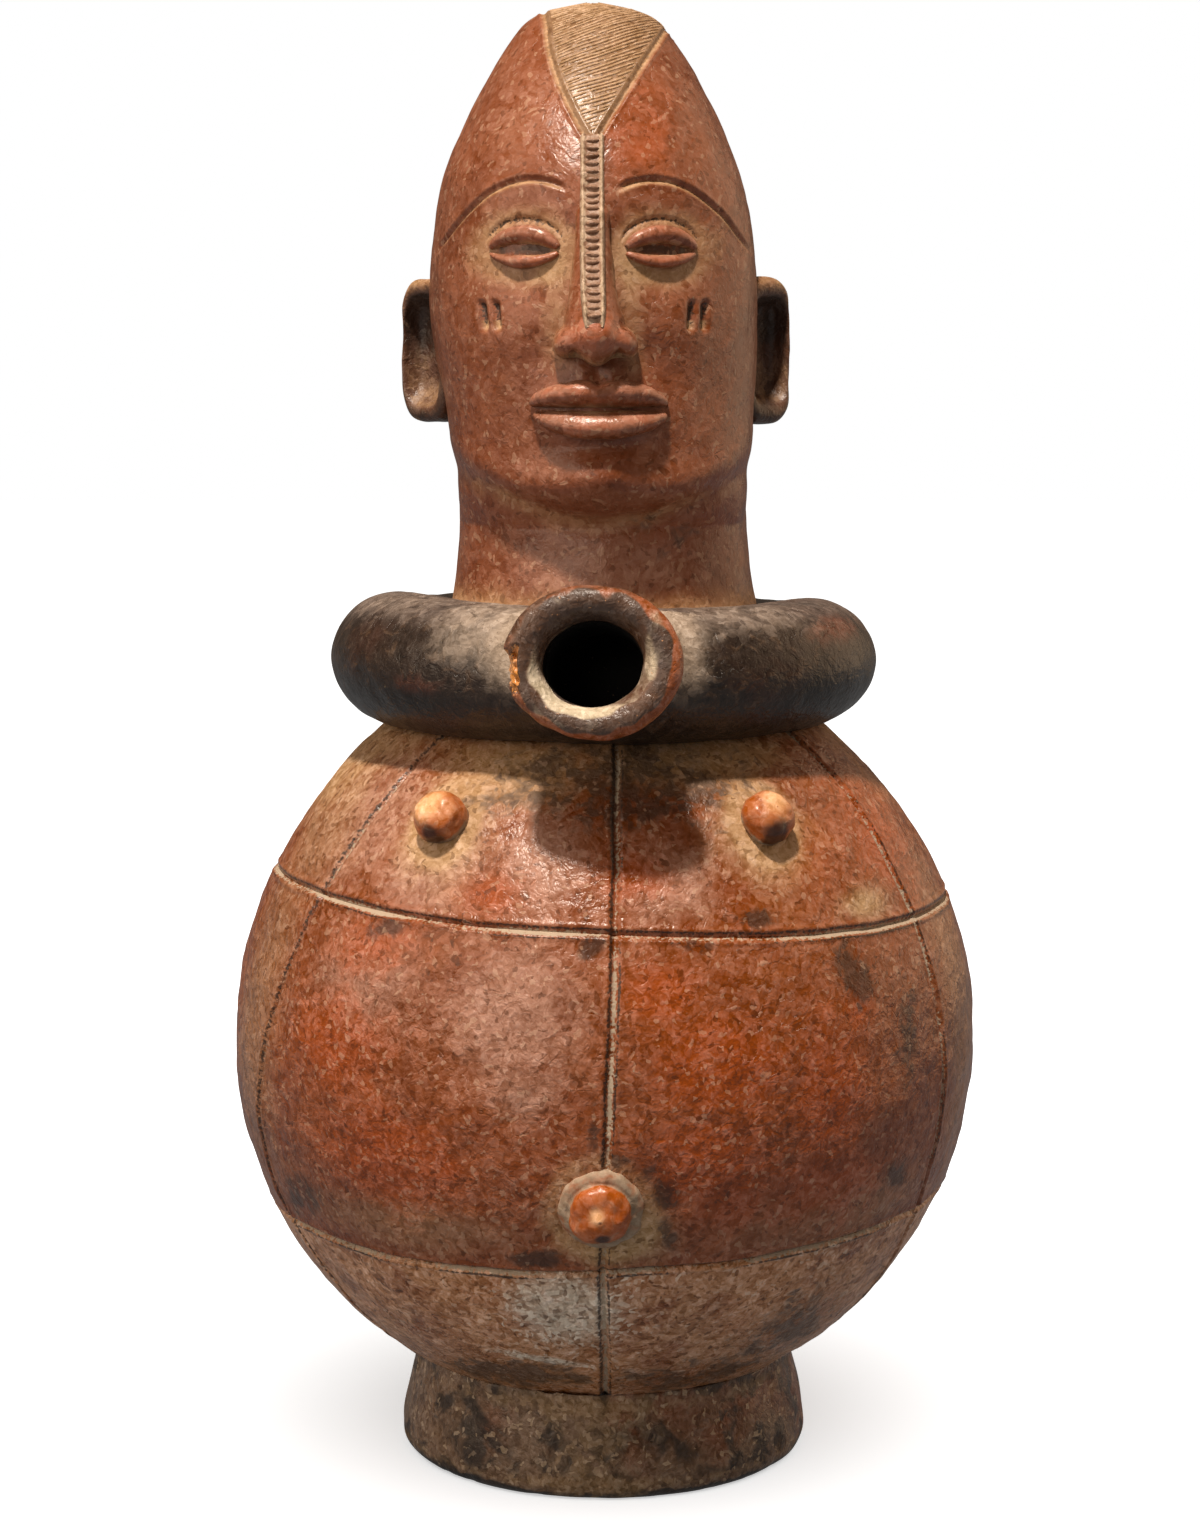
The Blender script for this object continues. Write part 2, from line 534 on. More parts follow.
def belly_grid(low, high, shares):
    """Angles and heights between two levels, in columns that follow the incised lines."""
    across = graded(*COLUMN_STEPS)[:-1]
    sector = np.repeat(np.arange(len(BELLY_LINES)), len(across))
    part = np.tile(across, len(BELLY_LINES))
    height = np.full((len(shares), len(part)), BELLY_MIDDLE)
    for _ in range(6):
        lines = [belly_line(line, height) for line in BELLY_LINES]
        lines.append(lines[0] + 2 * math.pi)
        start = np.choose(sector[None, :], lines[:-1])
        end = np.choose(sector[None, :], lines[1:])
        angle = start + (end - start) * part[None, :]
        start, end = (np.interp(level(angle), profile_height, profile_run) for level in (low, high))
        height = np.interp(start + (end - start) * shares[:, None], profile_run, profile_height)
    return angle, height


def line_distance(field, rings):
    """Distance on the surface, with its sign, to the line where a field passes zero."""
    up = np.gradient(field, axis=0) / np.maximum(np.linalg.norm(np.gradient(rings, axis=0), axis=-1), 1e-9)
    change, move = ((np.roll(values, -1, 1) - np.roll(values, 1, 1)) / 2 for values in (field, rings))
    around = change / np.maximum(np.linalg.norm(move, axis=-1), 1e-9)
    return field / np.maximum(np.hypot(up, around), 1e-9)


def incised(distance, width, depth, lip):
    """Section of a line pressed into wet clay: a round-bottomed cut with a low lip on both sides."""
    across = np.abs(distance) / width
    return lip * bell(across - 2.2, 0.8) - depth * bell(across)


def spot(angle, height, places):
    """Strength of a mark of the belly's table, full in the middle of each place."""
    strength = np.zeros_like(height)
    radius = belly_radius(height)
    for at_angle, at_height, half_width, half_height, tilt in places:
        x = half_turn(angle - math.radians(at_angle)) * radius / MM
        y = height / MM - at_height
        c, s = math.cos(math.radians(tilt)), math.sin(math.radians(tilt))
        reach = np.hypot((x * c + y * s) / half_width, (y * c - x * s) / half_height)
        strength = np.maximum(strength, np.exp(-0.9 * reach ** 2))
    return strength


def belly_skin(angle, height):
    """Points of the worked surface at angles and heights, and the marks on it."""
    radius = belly_radius(height)
    points = np.stack((radius * np.sin(angle), -radius * np.cos(angle), height), -1)
    rise = swells(points, (0.30, 42, 21), (0.12, 12, 22), (0.05, 4.5, 23))
    for at_angle, at_height, wide, tall, swell in WALL_SWELLS:
        turned = np.degrees(half_turn(angle - math.radians(at_angle)))
        rise += swell * MM * bell(turned, wide) * bell(height / MM - at_height, tall)
    waver = swells(points, (0.10, 14, 24))
    worn = 0.75 + 0.35 * unevenness(points, 26, 25)
    kept_dust = np.clip(worn, 0.45, 1)
    lip = np.zeros_like(height)
    cut = np.zeros_like(height)
    for ring, width, depth, pale, shade in RING_CUTS:
        distance = (line_distance(height - ring(angle), points) + waver) / MM
        rise += incised(distance, width, depth, RING_LIP) * MM
        cut = np.maximum(cut, 0.95 * bell(distance - 1.25 * width, shade * width))
        cut = np.maximum(cut, 0.9 * worn * bell(distance + 2.3 * width, shade * width))
        lip = np.maximum(lip, pale * kept_dust * bell(distance + 0.55 * width, 1.15 * width))
    for line in BELLY_LINES:
        depth, pale = line[2:]
        aside = (half_turn(angle - belly_line(line, height)) * radius + waver) / MM
        rise += incised(aside, LINE_WIDTH, depth, LINE_LIP) * MM
        cut = np.maximum(cut, (0.10 + 0.72 * pale) * bell(aside + 0.80, 0.48))
        cut = np.maximum(cut, 0.95 * pale * worn * bell(aside - 1.10, 0.32))
        lip = np.maximum(lip, pale * kept_dust * bell(aside - 0.15, 0.66))

    marks = {mark: spot(angle, height, places) for mark, places in BELLY_MARKS.items()}
    dust = 0.95 * marks["dust"]
    for _, at_angle, at_height, half_width in KNOBS:
        across = half_turn(angle - math.radians(at_angle)) * radius
        away = np.hypot(across, height - at_height * MM) / (half_width * MM)
        rise += 0.7 * MM * bell(away, 1.35)
        dust += 0.55 * bell(away - 1.15, 0.35)
    dust += 0.60 * unit((height / MM - 158) / 10)
    marks["dust"] = np.clip(dust, 0, 1.2)
    marks["soot"] *= 0.78
    marks["cut"] = cut
    marks["lip"] = np.where(lip > cut, lip, 0.6 * lip)
    return pushed(points, rise), marks


def lined(points, marks, lining):
    """A skin with its hollow side added, whose rings carry no marks."""
    blank = np.zeros(lining.shape[:2])
    return np.concatenate((points, lining)), {mark: np.vstack((part, blank)) for mark, part in marks.items()}


CLAY_STAINS = (
    ("rub", "haze", 0.15, 0.95, "#a87d69", 0.70),
    ("ash", "haze", 0.10, 1.00, "#9a7254", 0.75),
    ("ember", "flake", 0.10, 1.10, "#a04a1c", 0.75),
    ("dust", "haze", 0.05, 1.05, "#b8976e", 0.76),
    ("soot", "flake", 0.40, 0.80, "#2e1d13", 0.78),
)
BOWL_ASH = (
    ("ash", "haze", 0.15, 0.95, "#d6c3ae", 0.78),
    ("ash", "stroke", 0.55, 1.15, "#dccebb", 0.80),
)
CLAY_LINES = (
    (None, "stroke", 0.50, 0.62, "#b9967a", 0.32),
    (None, "stroke", -0.50, -0.62, "#452414", 0.35),
    ("cut", "grain", 0.40, 0.80, "#24170f", 0.85),
    ("lip", "grain", 0.40, 0.80, "#b0a18c", 0.86),
)
# red slip burnished with a pebble: a soft gloss over fine strokes, redder where the fire was hot
red_clay = fired_clay(
    "burnished_red_clay",
    ("#874829", "#6f3a1f", "#935836"),
    CLAY_STAINS,
    gloss=(0.24, 0.42),
    mottle=0.90,
    skin=0.34,
    lines=CLAY_LINES,
)
# the same slip where ash lay on it in the fire: grey-brown and more broken, with pale streaks
brown_clay = fired_clay(
    "burnished_brown_clay",
    ("#be845c", "#875036", "#d1a078"),
    CLAY_STAINS[:1] + BOWL_ASH + CLAY_STAINS[2:],
    gloss=(0.24, 0.40),
    mottle=1.35,
    skin=0.40,
    lines=CLAY_LINES,
)


def bowl_bottom(angle):
    """Height of the bowl's smallest ring."""
    return belly_height(BOWL_LAST_RING, -1) + 0 * angle


def neck_hole(angle):
    """Height of the hole in the shoulder."""
    return belly_height(NECK_HOLE, 1) + 0 * angle


def belly_piece(name, clay, low, high, rows, lining_heights, poles=None):
    """Piece of the belly between two levels, with its hollow side at a few heights in mm."""
    angle, height = belly_grid(low, high, rows)
    points, marks = belly_skin(angle, height)
    lining_height = np.array(lining_heights) * MM
    lining_outline = np.stack((belly_radius(lining_height, BELLY_THICKNESS), lining_height), -1)
    rings, marks = lined(points, marks, turn(lining_outline, angle[-1]))
    return clay_piece(name, rings, clay, marks, poles)


wall_rows = graded(*WALL_STEPS)
bowl_rows = BOWL_HIDDEN + (1 - BOWL_HIDDEN) * graded(*BOWL_STEPS)
bowl_rows = np.concatenate((np.linspace(0, BOWL_HIDDEN, HIDDEN_ROWS)[:-1], bowl_rows))
belly_end = (0, 0, BELLY_MIDDLE - BELLY_DROP)
bowl_poles = [belly_end, (0, 0, belly_end[2] + BELLY_THICKNESS)]
belly = belly_piece("belly", red_clay, lower_ring, upper_ring, wall_rows, (131, 110, 85, 62))
shoulder = belly_piece("shoulder", red_clay, upper_ring, neck_hole, wall_rows, (167, 160, 148, 134))
bowl = belly_piece("bowl", brown_clay, bowl_bottom, lower_ring, bowl_rows, (62, 45, 30, 18.5), bowl_poles)
for piece, node, slot in (
    (bowl, "base_bowl", "brown_clay"),
    (belly, "belly_wall", "red_clay"),
    (shoulder, "shoulder_dome", "red_clay"),
):
    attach(piece, "root")
    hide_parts(node)

# Neck, head and crown: one hollow tube of clay, built up in coils, swelled out to the head and closed at
# the top with a cap. The joins are smoothed away, so the surface runs through from neck to crown.
HEAD_STATIONS = MM * np.array((
    # height, half width, reach in front and behind
    (208.0, 31.6, 31.6, 31.6),
    (212.0, 31.5, 35.0, 31.6),
    (218.5, 31.8, 38.8, 32.2),
    (232.0, 33.6, 38.6, 35.0),
    (248.0, 35.2, 38.0, 39.5),
    (264.0, 35.4, 36.6, 42.5),
    (280.0, 33.2, 33.4, 42.5),
    (294.0, 27.8, 26.6, 38.6),
    (307.0, 20.9, 16.2, 30.8),
    (316.5, 13.2, 5.4, 20.6),
    (320.0, 0.0, -6.5, 6.5),
))
NECK_LINE = [(34.6, 166), (33.8, 186), (32.8, 194), (31.8, 203), (31.6, 208)]
NECK_HOLLOW = ((25.0, 207.7), (25.0, 190), (25.0, 170))
CROWN_STATION = 7.0
TOP_STATION = 10.0
# the last ring lies just before the top, where a pole closes the cap
LAST_STATION = TOP_STATION - 0.06
# stations of the hollow side, and the height in mm of its last ring, on the neck's rim
SHELL_HOLLOW, SHELL_HOLLOW_END = (6.9, 5.0, 3.0, 0.4), 208.3
CAP_HOLLOW = (9.0, 8.0, 7.1)
HEAD_COLUMNS = 440
COLUMN_CROWDING = 0.45
NECK_ROWS, SHELL_ROWS, CAP_ROWS = 84, 204, 96
HEAD_WALL = 6.0 * MM
HEAD_LEAN = -2.4 * MM
HEAD_LEAN_FULL = 268.0 * MM
HEAD_SWELLS = ((0.26, 36, 31), (0.09, 11, 32), (0.03, 4.5, 33))
# the face is laid out in thirds between hairline, brow, nose and chin, with the eyes at half height
CHIN = 213.0
HEAD_TOP = 320.0
THIRD = (HEAD_TOP - CHIN) / 3.5
EYE_HEIGHT = (HEAD_TOP + CHIN) / 2
NOSE_BASE = CHIN + THIRD
BROW = CHIN + 2 * THIRD
MOUTH = NOSE_BASE - THIRD / 3
EYE_WIDTH = 14.2
FACE_SWELLS = (
    # how far aside, height, half width, half height, rise
    (EYE_WIDTH, EYE_HEIGHT, 10.0, 7.0, -3.2),
    (EYE_WIDTH, EYE_HEIGHT - 0.5, 7.2, 4.4, 3.0),
    (EYE_WIDTH * 1.3, NOSE_BASE + 6, 10.0, 8.0, 1.6),
    (0.0, MOUTH, 15.0, 7.0, 1.8),
    (0.0, CHIN + 6, 10.5, 4.6, 2.6),
    (0.0, CHIN + 12.3, 9.0, 2.4, -1.3),
    (EYE_WIDTH * 0.78, NOSE_BASE + 1, 3.6, 6.0, -1.1),
    (0.0, NOSE_BASE - 2.8, 1.5, 2.8, -0.7),
    (3.2, NOSE_BASE - 2.8, 1.2, 2.8, 0.4),
)
# the two short cuts on each cheek: how far aside, height and half length in mm
CHEEK_CUTS, CHEEK_CUT_HEIGHT, CHEEK_CUT_HALF = (20.5, 23.3), 252.5, 2.8
# the hair's point on the forehead, the height in which its wedge opens, and the nape
HAIR_POINT, HAIR_WEDGE, HAIR_NAPE = 287.5, 25.0, 262.0


def head_sizes(station):
    """Height, half width, front and back reach of the head at a station, smooth between the listed ones."""
    last = len(HEAD_STATIONS) - 1
    i = np.clip(np.floor(station).astype(int), 0, last - 1)
    t = (station - i)[..., None]
    four = [HEAD_STATIONS[np.clip(i + k, 0, last)] for k in (-1, 0, 1, 2)]
    return np.moveaxis(between(*four, t), -1, 0)


def head_lean(height):
    """Sideways shift of the leaning head at a height, eased in from the neck."""
    share = unit((height - HEAD_STATIONS[0, 0]) / (HEAD_LEAN_FULL - HEAD_STATIONS[0, 0]))
    return HEAD_LEAN * share ** 2 * (3 - 2 * share)


def head_point(station, angle):
    """Point of the head at a station and an angle from the front towards +X."""
    height, half_width, front, back = head_sizes(station)
    depth = (front + back) / 2
    x = half_width * np.sin(angle)
    y = back - depth - depth * np.cos(angle)
    for aside, at_height, wide, tall, rise in FACE_SWELLS:
        near = bell(np.abs(x) / MM - aside, wide) * bell(height / MM - at_height, tall)
        y = y - rise * MM * near * unit(np.cos(angle))
    return np.stack((x + head_lean(height), y, height + 0 * x), -1)


def face_place(x, height):
    """Points on the face at x and height in mm, and their outward directions."""
    steps = np.linspace(0, TOP_STATION, 2001)
    station = np.interp(height * MM, head_sizes(steps)[0], steps)
    angle = np.arcsin(np.clip(x * MM / head_sizes(station)[1], -1, 1))
    nudge = 0.01
    along = head_point(station, angle + nudge) - head_point(station, angle - nudge)
    upward = head_point(station + nudge, angle) - head_point(station - nudge, angle)
    out = np.cross(along, upward)
    return head_point(station, angle), out / np.linalg.norm(out, axis=-1, keepdims=True)


def hair_room(aside, height, behind):
    """How far inside the hair's border a place is, in mm: a wedge before and a rounded cap behind."""
    rise = (height - HAIR_POINT) / HAIR_WEDGE
    left_edge = 9.8 * (1 - np.sign(1 - rise) * np.abs(1 - rise) ** 1.6)
    before = np.minimum(aside + left_edge, 15.0 * rise - aside)
    nape = 21 * unit((height - HAIR_NAPE) / 26) ** 0.6 - 4 * (height < HAIR_NAPE)
    taper = unit((height - 290) / 24)
    after = np.minimum(aside + nape - 10.4 * taper, nape - 4.2 * taper - aside)
    return np.where(behind, after, before)


def blotch(aside, above, half_width, half_height, core):
    """Soft-edged mark that fades out at a share, the core, of its half width and half height."""
    return unit(core - np.hypot(aside / half_width, above / half_height))


turns = np.linspace(-math.pi, math.pi, HEAD_COLUMNS, endpoint=False)
head_angles = turns - COLUMN_CROWDING * np.sin(turns)
all_stations = np.linspace(0, LAST_STATION, 4001)
run_height, _, run_front, _ = head_sizes(all_stations)
head_run = np.concatenate(([0], np.cumsum(np.hypot(np.diff(run_height), np.diff(run_front)))))
crown_run = np.interp(CROWN_STATION, all_stations, head_run)
shell_stations = np.interp(np.linspace(0, crown_run, SHELL_ROWS), head_run, all_stations)
cap_stations = np.interp(np.linspace(crown_run, head_run[-1], CAP_ROWS), head_run, all_stations)[1:]
head_stations = np.concatenate((shell_stations, cap_stations))[:, None]
neck_rings = turn(smooth_line(NECK_LINE, NECK_ROWS)[:-1] * MM, head_angles)
head_rings = np.concatenate((neck_rings, head_point(head_stations, head_angles[None, :])))
head_x = (head_rings[..., 0] - head_lean(head_rings[..., 2])) / MM
head_z = head_rings[..., 2] / MM
head_aside = np.abs(head_x)
front_side = unit(2 * np.cos(head_angles))[None, :]

to_wedge, to_cap = (
    line_distance(hair_room(head_x, head_z, behind), head_rings) for behind in (False, True)
)
to_hair = np.where(np.cos(head_angles)[None, :] < 0, to_cap, to_wedge)
brow_line = BROW + 6.5 - 10.0 * ((head_aside - 13.0) / 17.0) ** 2
to_brow = line_distance(head_z - brow_line, head_rings)
brow_where = front_side * unit((head_aside - 5.0) / 2.0) * unit((34.0 - head_aside) / 2.0)
over_cuts = head_z - CHEEK_CUT_HEIGHT
cheek_cuts = np.zeros_like(head_x)
for aside in CHEEK_CUTS:
    across = (head_aside - aside - 0.06 * over_cuts) / 0.80
    ends = unit(3 - 2.4 * np.abs(over_cuts) / CHEEK_CUT_HALF)
    cheek_cuts = np.maximum(cheek_cuts, bell(across) * ends * front_side)
lid_share = np.clip((head_aside - EYE_WIDTH) / 8.6, -1, 1)
lid_arch = np.sqrt(1 - lid_share ** 2)
over_eye = head_z - EYE_HEIGHT
lid_fold = bell(over_eye - 6.4 * lid_arch + 0.4, 0.55) * unit(2.5 * lid_arch - 0.4) * front_side
eye_slit = np.exp(-(np.abs(lid_share) / 0.72) ** 8 - ((over_eye + 0.4) / 1.3) ** 4) * front_side
over_jaw = head_z - (CHIN - 4.0 + 0.0105 * head_x ** 2)
jaw_side = unit(1.3 + 2 * np.cos(head_angles))[None, :] * unit((36 - head_aside) / 14)
jaw_fold = bell(over_jaw, 2.6) * jaw_side

head_rise = swells(head_rings, *HEAD_SWELLS)
head_rise += incised(to_hair / MM, 0.5, 0.4, 0.2) * MM
head_rise += incised(to_brow / MM, 0.55, 0.9, 0.15) * MM * brow_where
head_rise += MM * (0.8 * bell(over_jaw - 5.5, 3.5) * jaw_side - 1.2 * jaw_fold)
head_rise -= MM * (1.3 * cheek_cuts + 0.5 * lid_fold)
head_rings = pushed(head_rings, head_rise)
head_normals = outward(head_rings)

eye_away = np.hypot((head_aside - EYE_WIDTH) / 10.0, over_eye / 6.5)
nose_away = np.hypot((head_aside - 7.5) / 4.0, (head_z - NOSE_BASE - 8) / 13.0)
face_dust = 0.6 * bell(eye_away - 0.9, 0.45) + 0.55 * bell(nose_away)
face_dust += 0.85 * brow_where * bell(to_brow / MM + 0.55, 0.7) + 0.9 * cheek_cuts * (over_cuts < -1)
head_dust = face_dust * front_side + 0.8 * bell(to_hair / MM, 0.9)
head_dust += 0.7 * bell(head_z - 190, 5) + 0.45 * jaw_fold
forehead_rub = 0.4 * blotch(head_x + 16, head_z - 296, 12, 12, 1.3)
neck_rub = 0.75 * blotch(head_x - 2, head_z - 200, 22, 9, 1.4)
head_marks = {
    "dust": np.clip(head_dust, 0, 1.2),
    "hair": unit(to_hair / MM / 1.2 + 0.5),
    "cut": np.maximum(0.95 * cheek_cuts * unit(0.9 + over_cuts / 4), 0.75 * lid_fold),
    "ember": 0.65 * blotch(head_x - 9, head_z - 291, 9, 11, 1.4) * front_side,
    "soot": 0.5 * blotch(head_x - 12, head_z - 206, 14, 6, 1.4) * front_side + 0.8 * eye_slit,
    "rub": (forehead_rub + neck_rub) * front_side,
}
# the belly's burnished slip, rubbed more evenly on the head, and dull tan under the combed hair
head_clay = fired_clay(
    "burnished_red_clay_head",
    ("#854b30", "#6c3a24", "#915a3f"),
    CLAY_STAINS + (("hair", "grain", 0.40, 0.60, "#87694c", 0.92),),
    gloss=(0.25, 0.42),
    mottle=0.52,
    skin=0.20,
    lines=CLAY_LINES,
)


def inward(rings):
    """Directions from rings of the hollow side, which run down, into the hollow."""
    return -outward(rings[::-1])[::-1]


def head_hollow(stations):
    """Rings of the head's hollow side at a few stations, from the top down."""
    rings = head_point(np.array(stations)[:, None], head_angles[None, :])
    return rings + inward(rings) * HEAD_WALL


neck_end = len(neck_rings)
shell_end = neck_end + SHELL_ROWS - 1
neck_lining = turn(np.array(NECK_HOLLOW) * MM, head_angles)
shell_lining = head_hollow(SHELL_HOLLOW)
shell_lining[-1, :, 2] = SHELL_HOLLOW_END * MM
cap_lining = head_hollow(CAP_HOLLOW)
for name, node, slot, first, end, lining in (
    ("neck", "neck_tube", "red_clay", 0, neck_end + 1, neck_lining),
    ("head", "head_shell", "red_clay", neck_end, shell_end + 1, shell_lining),
):
    skin_marks = {mark: amount[first:end] for mark, amount in head_marks.items()}
    rings, skin_marks = lined(head_rings[first:end], skin_marks, lining)
    normals = np.concatenate((head_normals[first:end], inward(lining)))
    piece = clay_piece(name, rings, head_clay, skin_marks, None, normals)
    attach(piece, "root")
    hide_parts(node)
blank = np.zeros(cap_lining.shape[:2])
crown_marks = {mark: np.vstack((blank, amount[shell_end:])) for mark, amount in head_marks.items()}
crown_rings = np.concatenate((cap_lining, head_rings[shell_end:]))
crown_poles = [cap_lining[0].mean(0), head_point(np.array(TOP_STATION), np.array(0.0))]
crown_normals = np.concatenate((inward(cap_lining), head_normals[shell_end:])).reshape(-1, 3)
crown_normals = np.vstack((crown_normals, ((0, 0, -1), (0, 0, 1))))
crown = clay_piece("crown", crown_rings, head_clay, crown_marks, crown_poles, crown_normals)
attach(crown, "root")
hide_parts("crown_cap")

# Collar: a thick ring of clay laid round the neck on the shoulder, smoked black-brown in the fire and
# rubbed smooth. Its front is pierced for the spout, and dust has settled beside it.
RING_RADIUS = 45.6
TUBE_RADIUS = 14.3
RING_HEIGHT = 178.6
RING_TOP = RING_HEIGHT + TUBE_RADIUS
RING_BOTTOM = RING_HEIGHT - TUBE_RADIUS
SPOUT_START = MM * np.array((0.0, -RING_RADIUS, RING_HEIGHT))
SPOUT_RISE = math.radians(11)
SPOUT_SWING = math.radians(5)
SPOUT_OVAL = 0.86
SPOUT_BORE = 9.9 * MM
SPOUT_RADIUS = 15.2 * MM
# the hole behind the spout, and the clay smeared round the spout's root
PIT_DEPTH = 21 * MM
FILLET_RISE, FILLET_WIDTH = 1.6 * MM, 3.0 * MM
# heights and radii of the neck that the ring lies against, in mm
NECK_SEAT = ((166, 186, 194, 203), (34.8, 34.0, 33.0, 32.0))
COLLAR_BLOTCHES = (
    # mark, strength, angle in degrees, height in mm, half width, half height and core
    ("dust", 0.60, -28, 188, 13, 8, 1.3),
    ("dust", 0.35, -60, 192, 30, 4, 1.3),
    ("dust", 0.45, 36, 190, 28, 5, 1.3),
    ("soot", 1.00, 70, 168, 46, 15, 1.3),
    ("soot", 1.00, -55, 168, 34, 10, 1.3),
    ("ember", 0.90, 62, 187, 22, 5, 1.2),
    ("ember", 0.80, -42, 176, 14, 4, 1.2),
    ("rub", 0.25, 85, 180, 20, 14, 1.2),
    ("rub", 0.35, -88, 180, 24, 14, 1.2),
)
spout_way = np.array((
    -math.sin(SPOUT_SWING) * math.cos(SPOUT_RISE),
    -math.cos(SPOUT_SWING) * math.cos(SPOUT_RISE),
    math.sin(SPOUT_RISE),
))
spout_side = np.array((math.cos(SPOUT_SWING), -math.sin(SPOUT_SWING), 0.0))
spout_up = np.cross(spout_way, spout_side)

# slip smoked in the fire: nearly black with a soft gloss, brown where hands or air reached it
smoked_clay = fired_clay(
    "burnished_smoked_clay",
    ("#291e18", "#1f1712", "#352820"),
    (
        (None, "cloud", 0.10, 0.50, "#4a2b1e", 0.55),
        (None, "dab", 0.10, 0.55, "#57412f", 0.55),
        ("rub", "haze", 0.15, 1.15, "#7f7068", 0.65),
        ("ember", "flake", 0.40, 1.10, "#6e3a24", 0.60),
        ("soot", "flake", 0.20, 0.85, "#130f0c", 0.90),
        ("dust", "haze", 0.10, 1.10, "#a3917f", 0.85),
        ("deep", "grain", 0.30, 0.60, "#040302", 1.00),
    ),
    gloss=(0.26, 0.42),
    mottle=1.0,
    skin=0.32,
    lines=(("lip", "grain", 0.35, 0.75, "#b49c7c", 0.85), ("cut", "grain", 0.35, 0.75, "#14100d", 0.9)),
)


def node_tree(name, inputs):
    """Node tree with named inputs, with the sockets that give them and their values by identifier."""
    tree = bpy.data.node_groups.new(name, "GeometryNodeTree")
    tree.is_modifier = True
    values = {}
    for label, kind, value in inputs:
        socket = tree.interface.new_socket(label, in_out="INPUT", socket_type=kind)
        if value is not None:
            values[socket.identifier] = value
    tree.interface.new_socket("Geometry", in_out="OUTPUT", socket_type="NodeSocketGeometry")
    return tree, tree.nodes.new("NodeGroupInput").outputs, values


def close_tree(tree, shape, clay):
    """End a node tree with real geometry of one material."""
    shape = add_node(tree, "GeometryNodeRealizeInstances", {"Geometry": shape})
    shape = add_node(tree, "GeometryNodeSetMaterial", {"Geometry": shape, "Material": clay})
    add_node(tree, "NodeGroupOutput", {"Geometry": shape})


def bake_nodes(name, tree, values, host=None):
    """Plain mesh object from a node tree, with its inputs set by identifier before it is first evaluated."""
    host = host or bpy.data.meshes.new(name)
    carrier = bpy.data.objects.new(name + "_nodes", host)
    scene.collection.objects.link(carrier)
    modifier = carrier.modifiers.new(name, "NODES")
    modifier.node_group = tree
    for identifier, value in values.items():
        modifier[identifier] = value
    depsgraph = bpy.context.evaluated_depsgraph_get()
    mesh = bpy.data.meshes.new_from_object(carrier.evaluated_get(depsgraph))
    carrier.modifiers.remove(modifier)
    bpy.data.objects.remove(carrier)
    mesh.name = name
    mesh.shade_smooth()
    piece = bpy.data.objects.new(name, mesh)
    scene.collection.objects.link(piece)
    return piece


ring_tree, given, ring_values = node_tree("ring_of_clay", (
    ("Ring radius", "NodeSocketFloat", RING_RADIUS * MM),
    ("Tube radius", "NodeSocketFloat", TUBE_RADIUS * MM),
    ("Height", "NodeSocketFloat", RING_HEIGHT * MM),
    ("Steps round", "NodeSocketInt", 620),
    ("Steps across", "NodeSocketInt", 150),
    ("Swell size", "NodeSocketFloat", 24 * MM),
    ("Swell", "NodeSocketFloat", 1.3 * MM),
    ("Clay", "NodeSocketMaterial", smoked_clay),
))
inputs = {"Resolution": given["Steps round"], "Radius": given["Ring radius"]}
path = add_node(ring_tree, "GeometryNodeCurvePrimitiveCircle", inputs)
inputs = {"Resolution": given["Steps across"], "Radius": given["Tube radius"]}
section = add_node(ring_tree, "GeometryNodeCurvePrimitiveCircle", inputs)
tube = add_node(ring_tree, "GeometryNodeCurveToMesh", {"Curve": path, "Profile Curve": section})
lift = add_node(ring_tree, "ShaderNodeCombineXYZ", {"Z": given["Height"]})
tube = add_node(ring_tree, "GeometryNodeTransform", {"Geometry": tube, "Translation": lift})
fineness = add_node(ring_tree, "ShaderNodeMath", {0: 1.0, 1: given["Swell size"]}, operation="DIVIDE")
swell = add_node(ring_tree, "ShaderNodeTexNoise", {"Scale": fineness, "Detail": 2.0})
swell = add_node(ring_tree, "ShaderNodeMath", {0: swell, 1: 0.5}, operation="SUBTRACT")
swell = add_node(ring_tree, "ShaderNodeMath", {0: swell, 1: given["Swell"]}, operation="MULTIPLY")
facing = add_node(ring_tree, "GeometryNodeInputNormal")
swell = add_node(ring_tree, "ShaderNodeVectorMath", {0: facing, "Scale": swell}, operation="SCALE")
tube = add_node(ring_tree, "GeometryNodeSetPosition", {"Geometry": tube, "Offset": swell})
close_tree(ring_tree, tube, given["Clay"])
collar = bake_nodes("collar", ring_tree, ring_values)

# the ring sags at the back, is filled up towards the neck in front, and is pressed on what it lies against
collar_points = np.zeros(3 * len(collar.data.vertices))
collar.data.vertices.foreach_get("co", collar_points)
collar_points = collar_points.reshape(-1, 3)
collar_turn = np.arctan2(collar_points[:, 0], -collar_points[:, 1])
towards_back = unit(0.30 - np.cos(collar_turn))
top_share = unit((collar_points[:, 2] / MM - RING_BOTTOM) / (RING_TOP - RING_BOTTOM))
sag = 3.4 * towards_back ** 2 * (3 - 2 * towards_back) + 0.7 * (1 + np.sin(collar_turn))
collar_points[:, 2] -= sag * top_share * MM
inwards = np.clip((43.4 - np.hypot(collar_points[:, 0], collar_points[:, 1]) / MM) / 9.4, 0, 1.3)
fill_top = (RING_TOP - sag - 1.6 * inwards ** 2) * MM
filled = unit(0.5 + 1.2 * np.cos(collar_turn)) * (inwards > 0) * (collar_points[:, 2] > 183 * MM)
collar_points[:, 2] += filled * np.maximum(0, fill_top - collar_points[:, 2])
collar_points += swells(collar_points, (0.05, 6, 41))[:, None]
from_start = collar_points - SPOUT_START
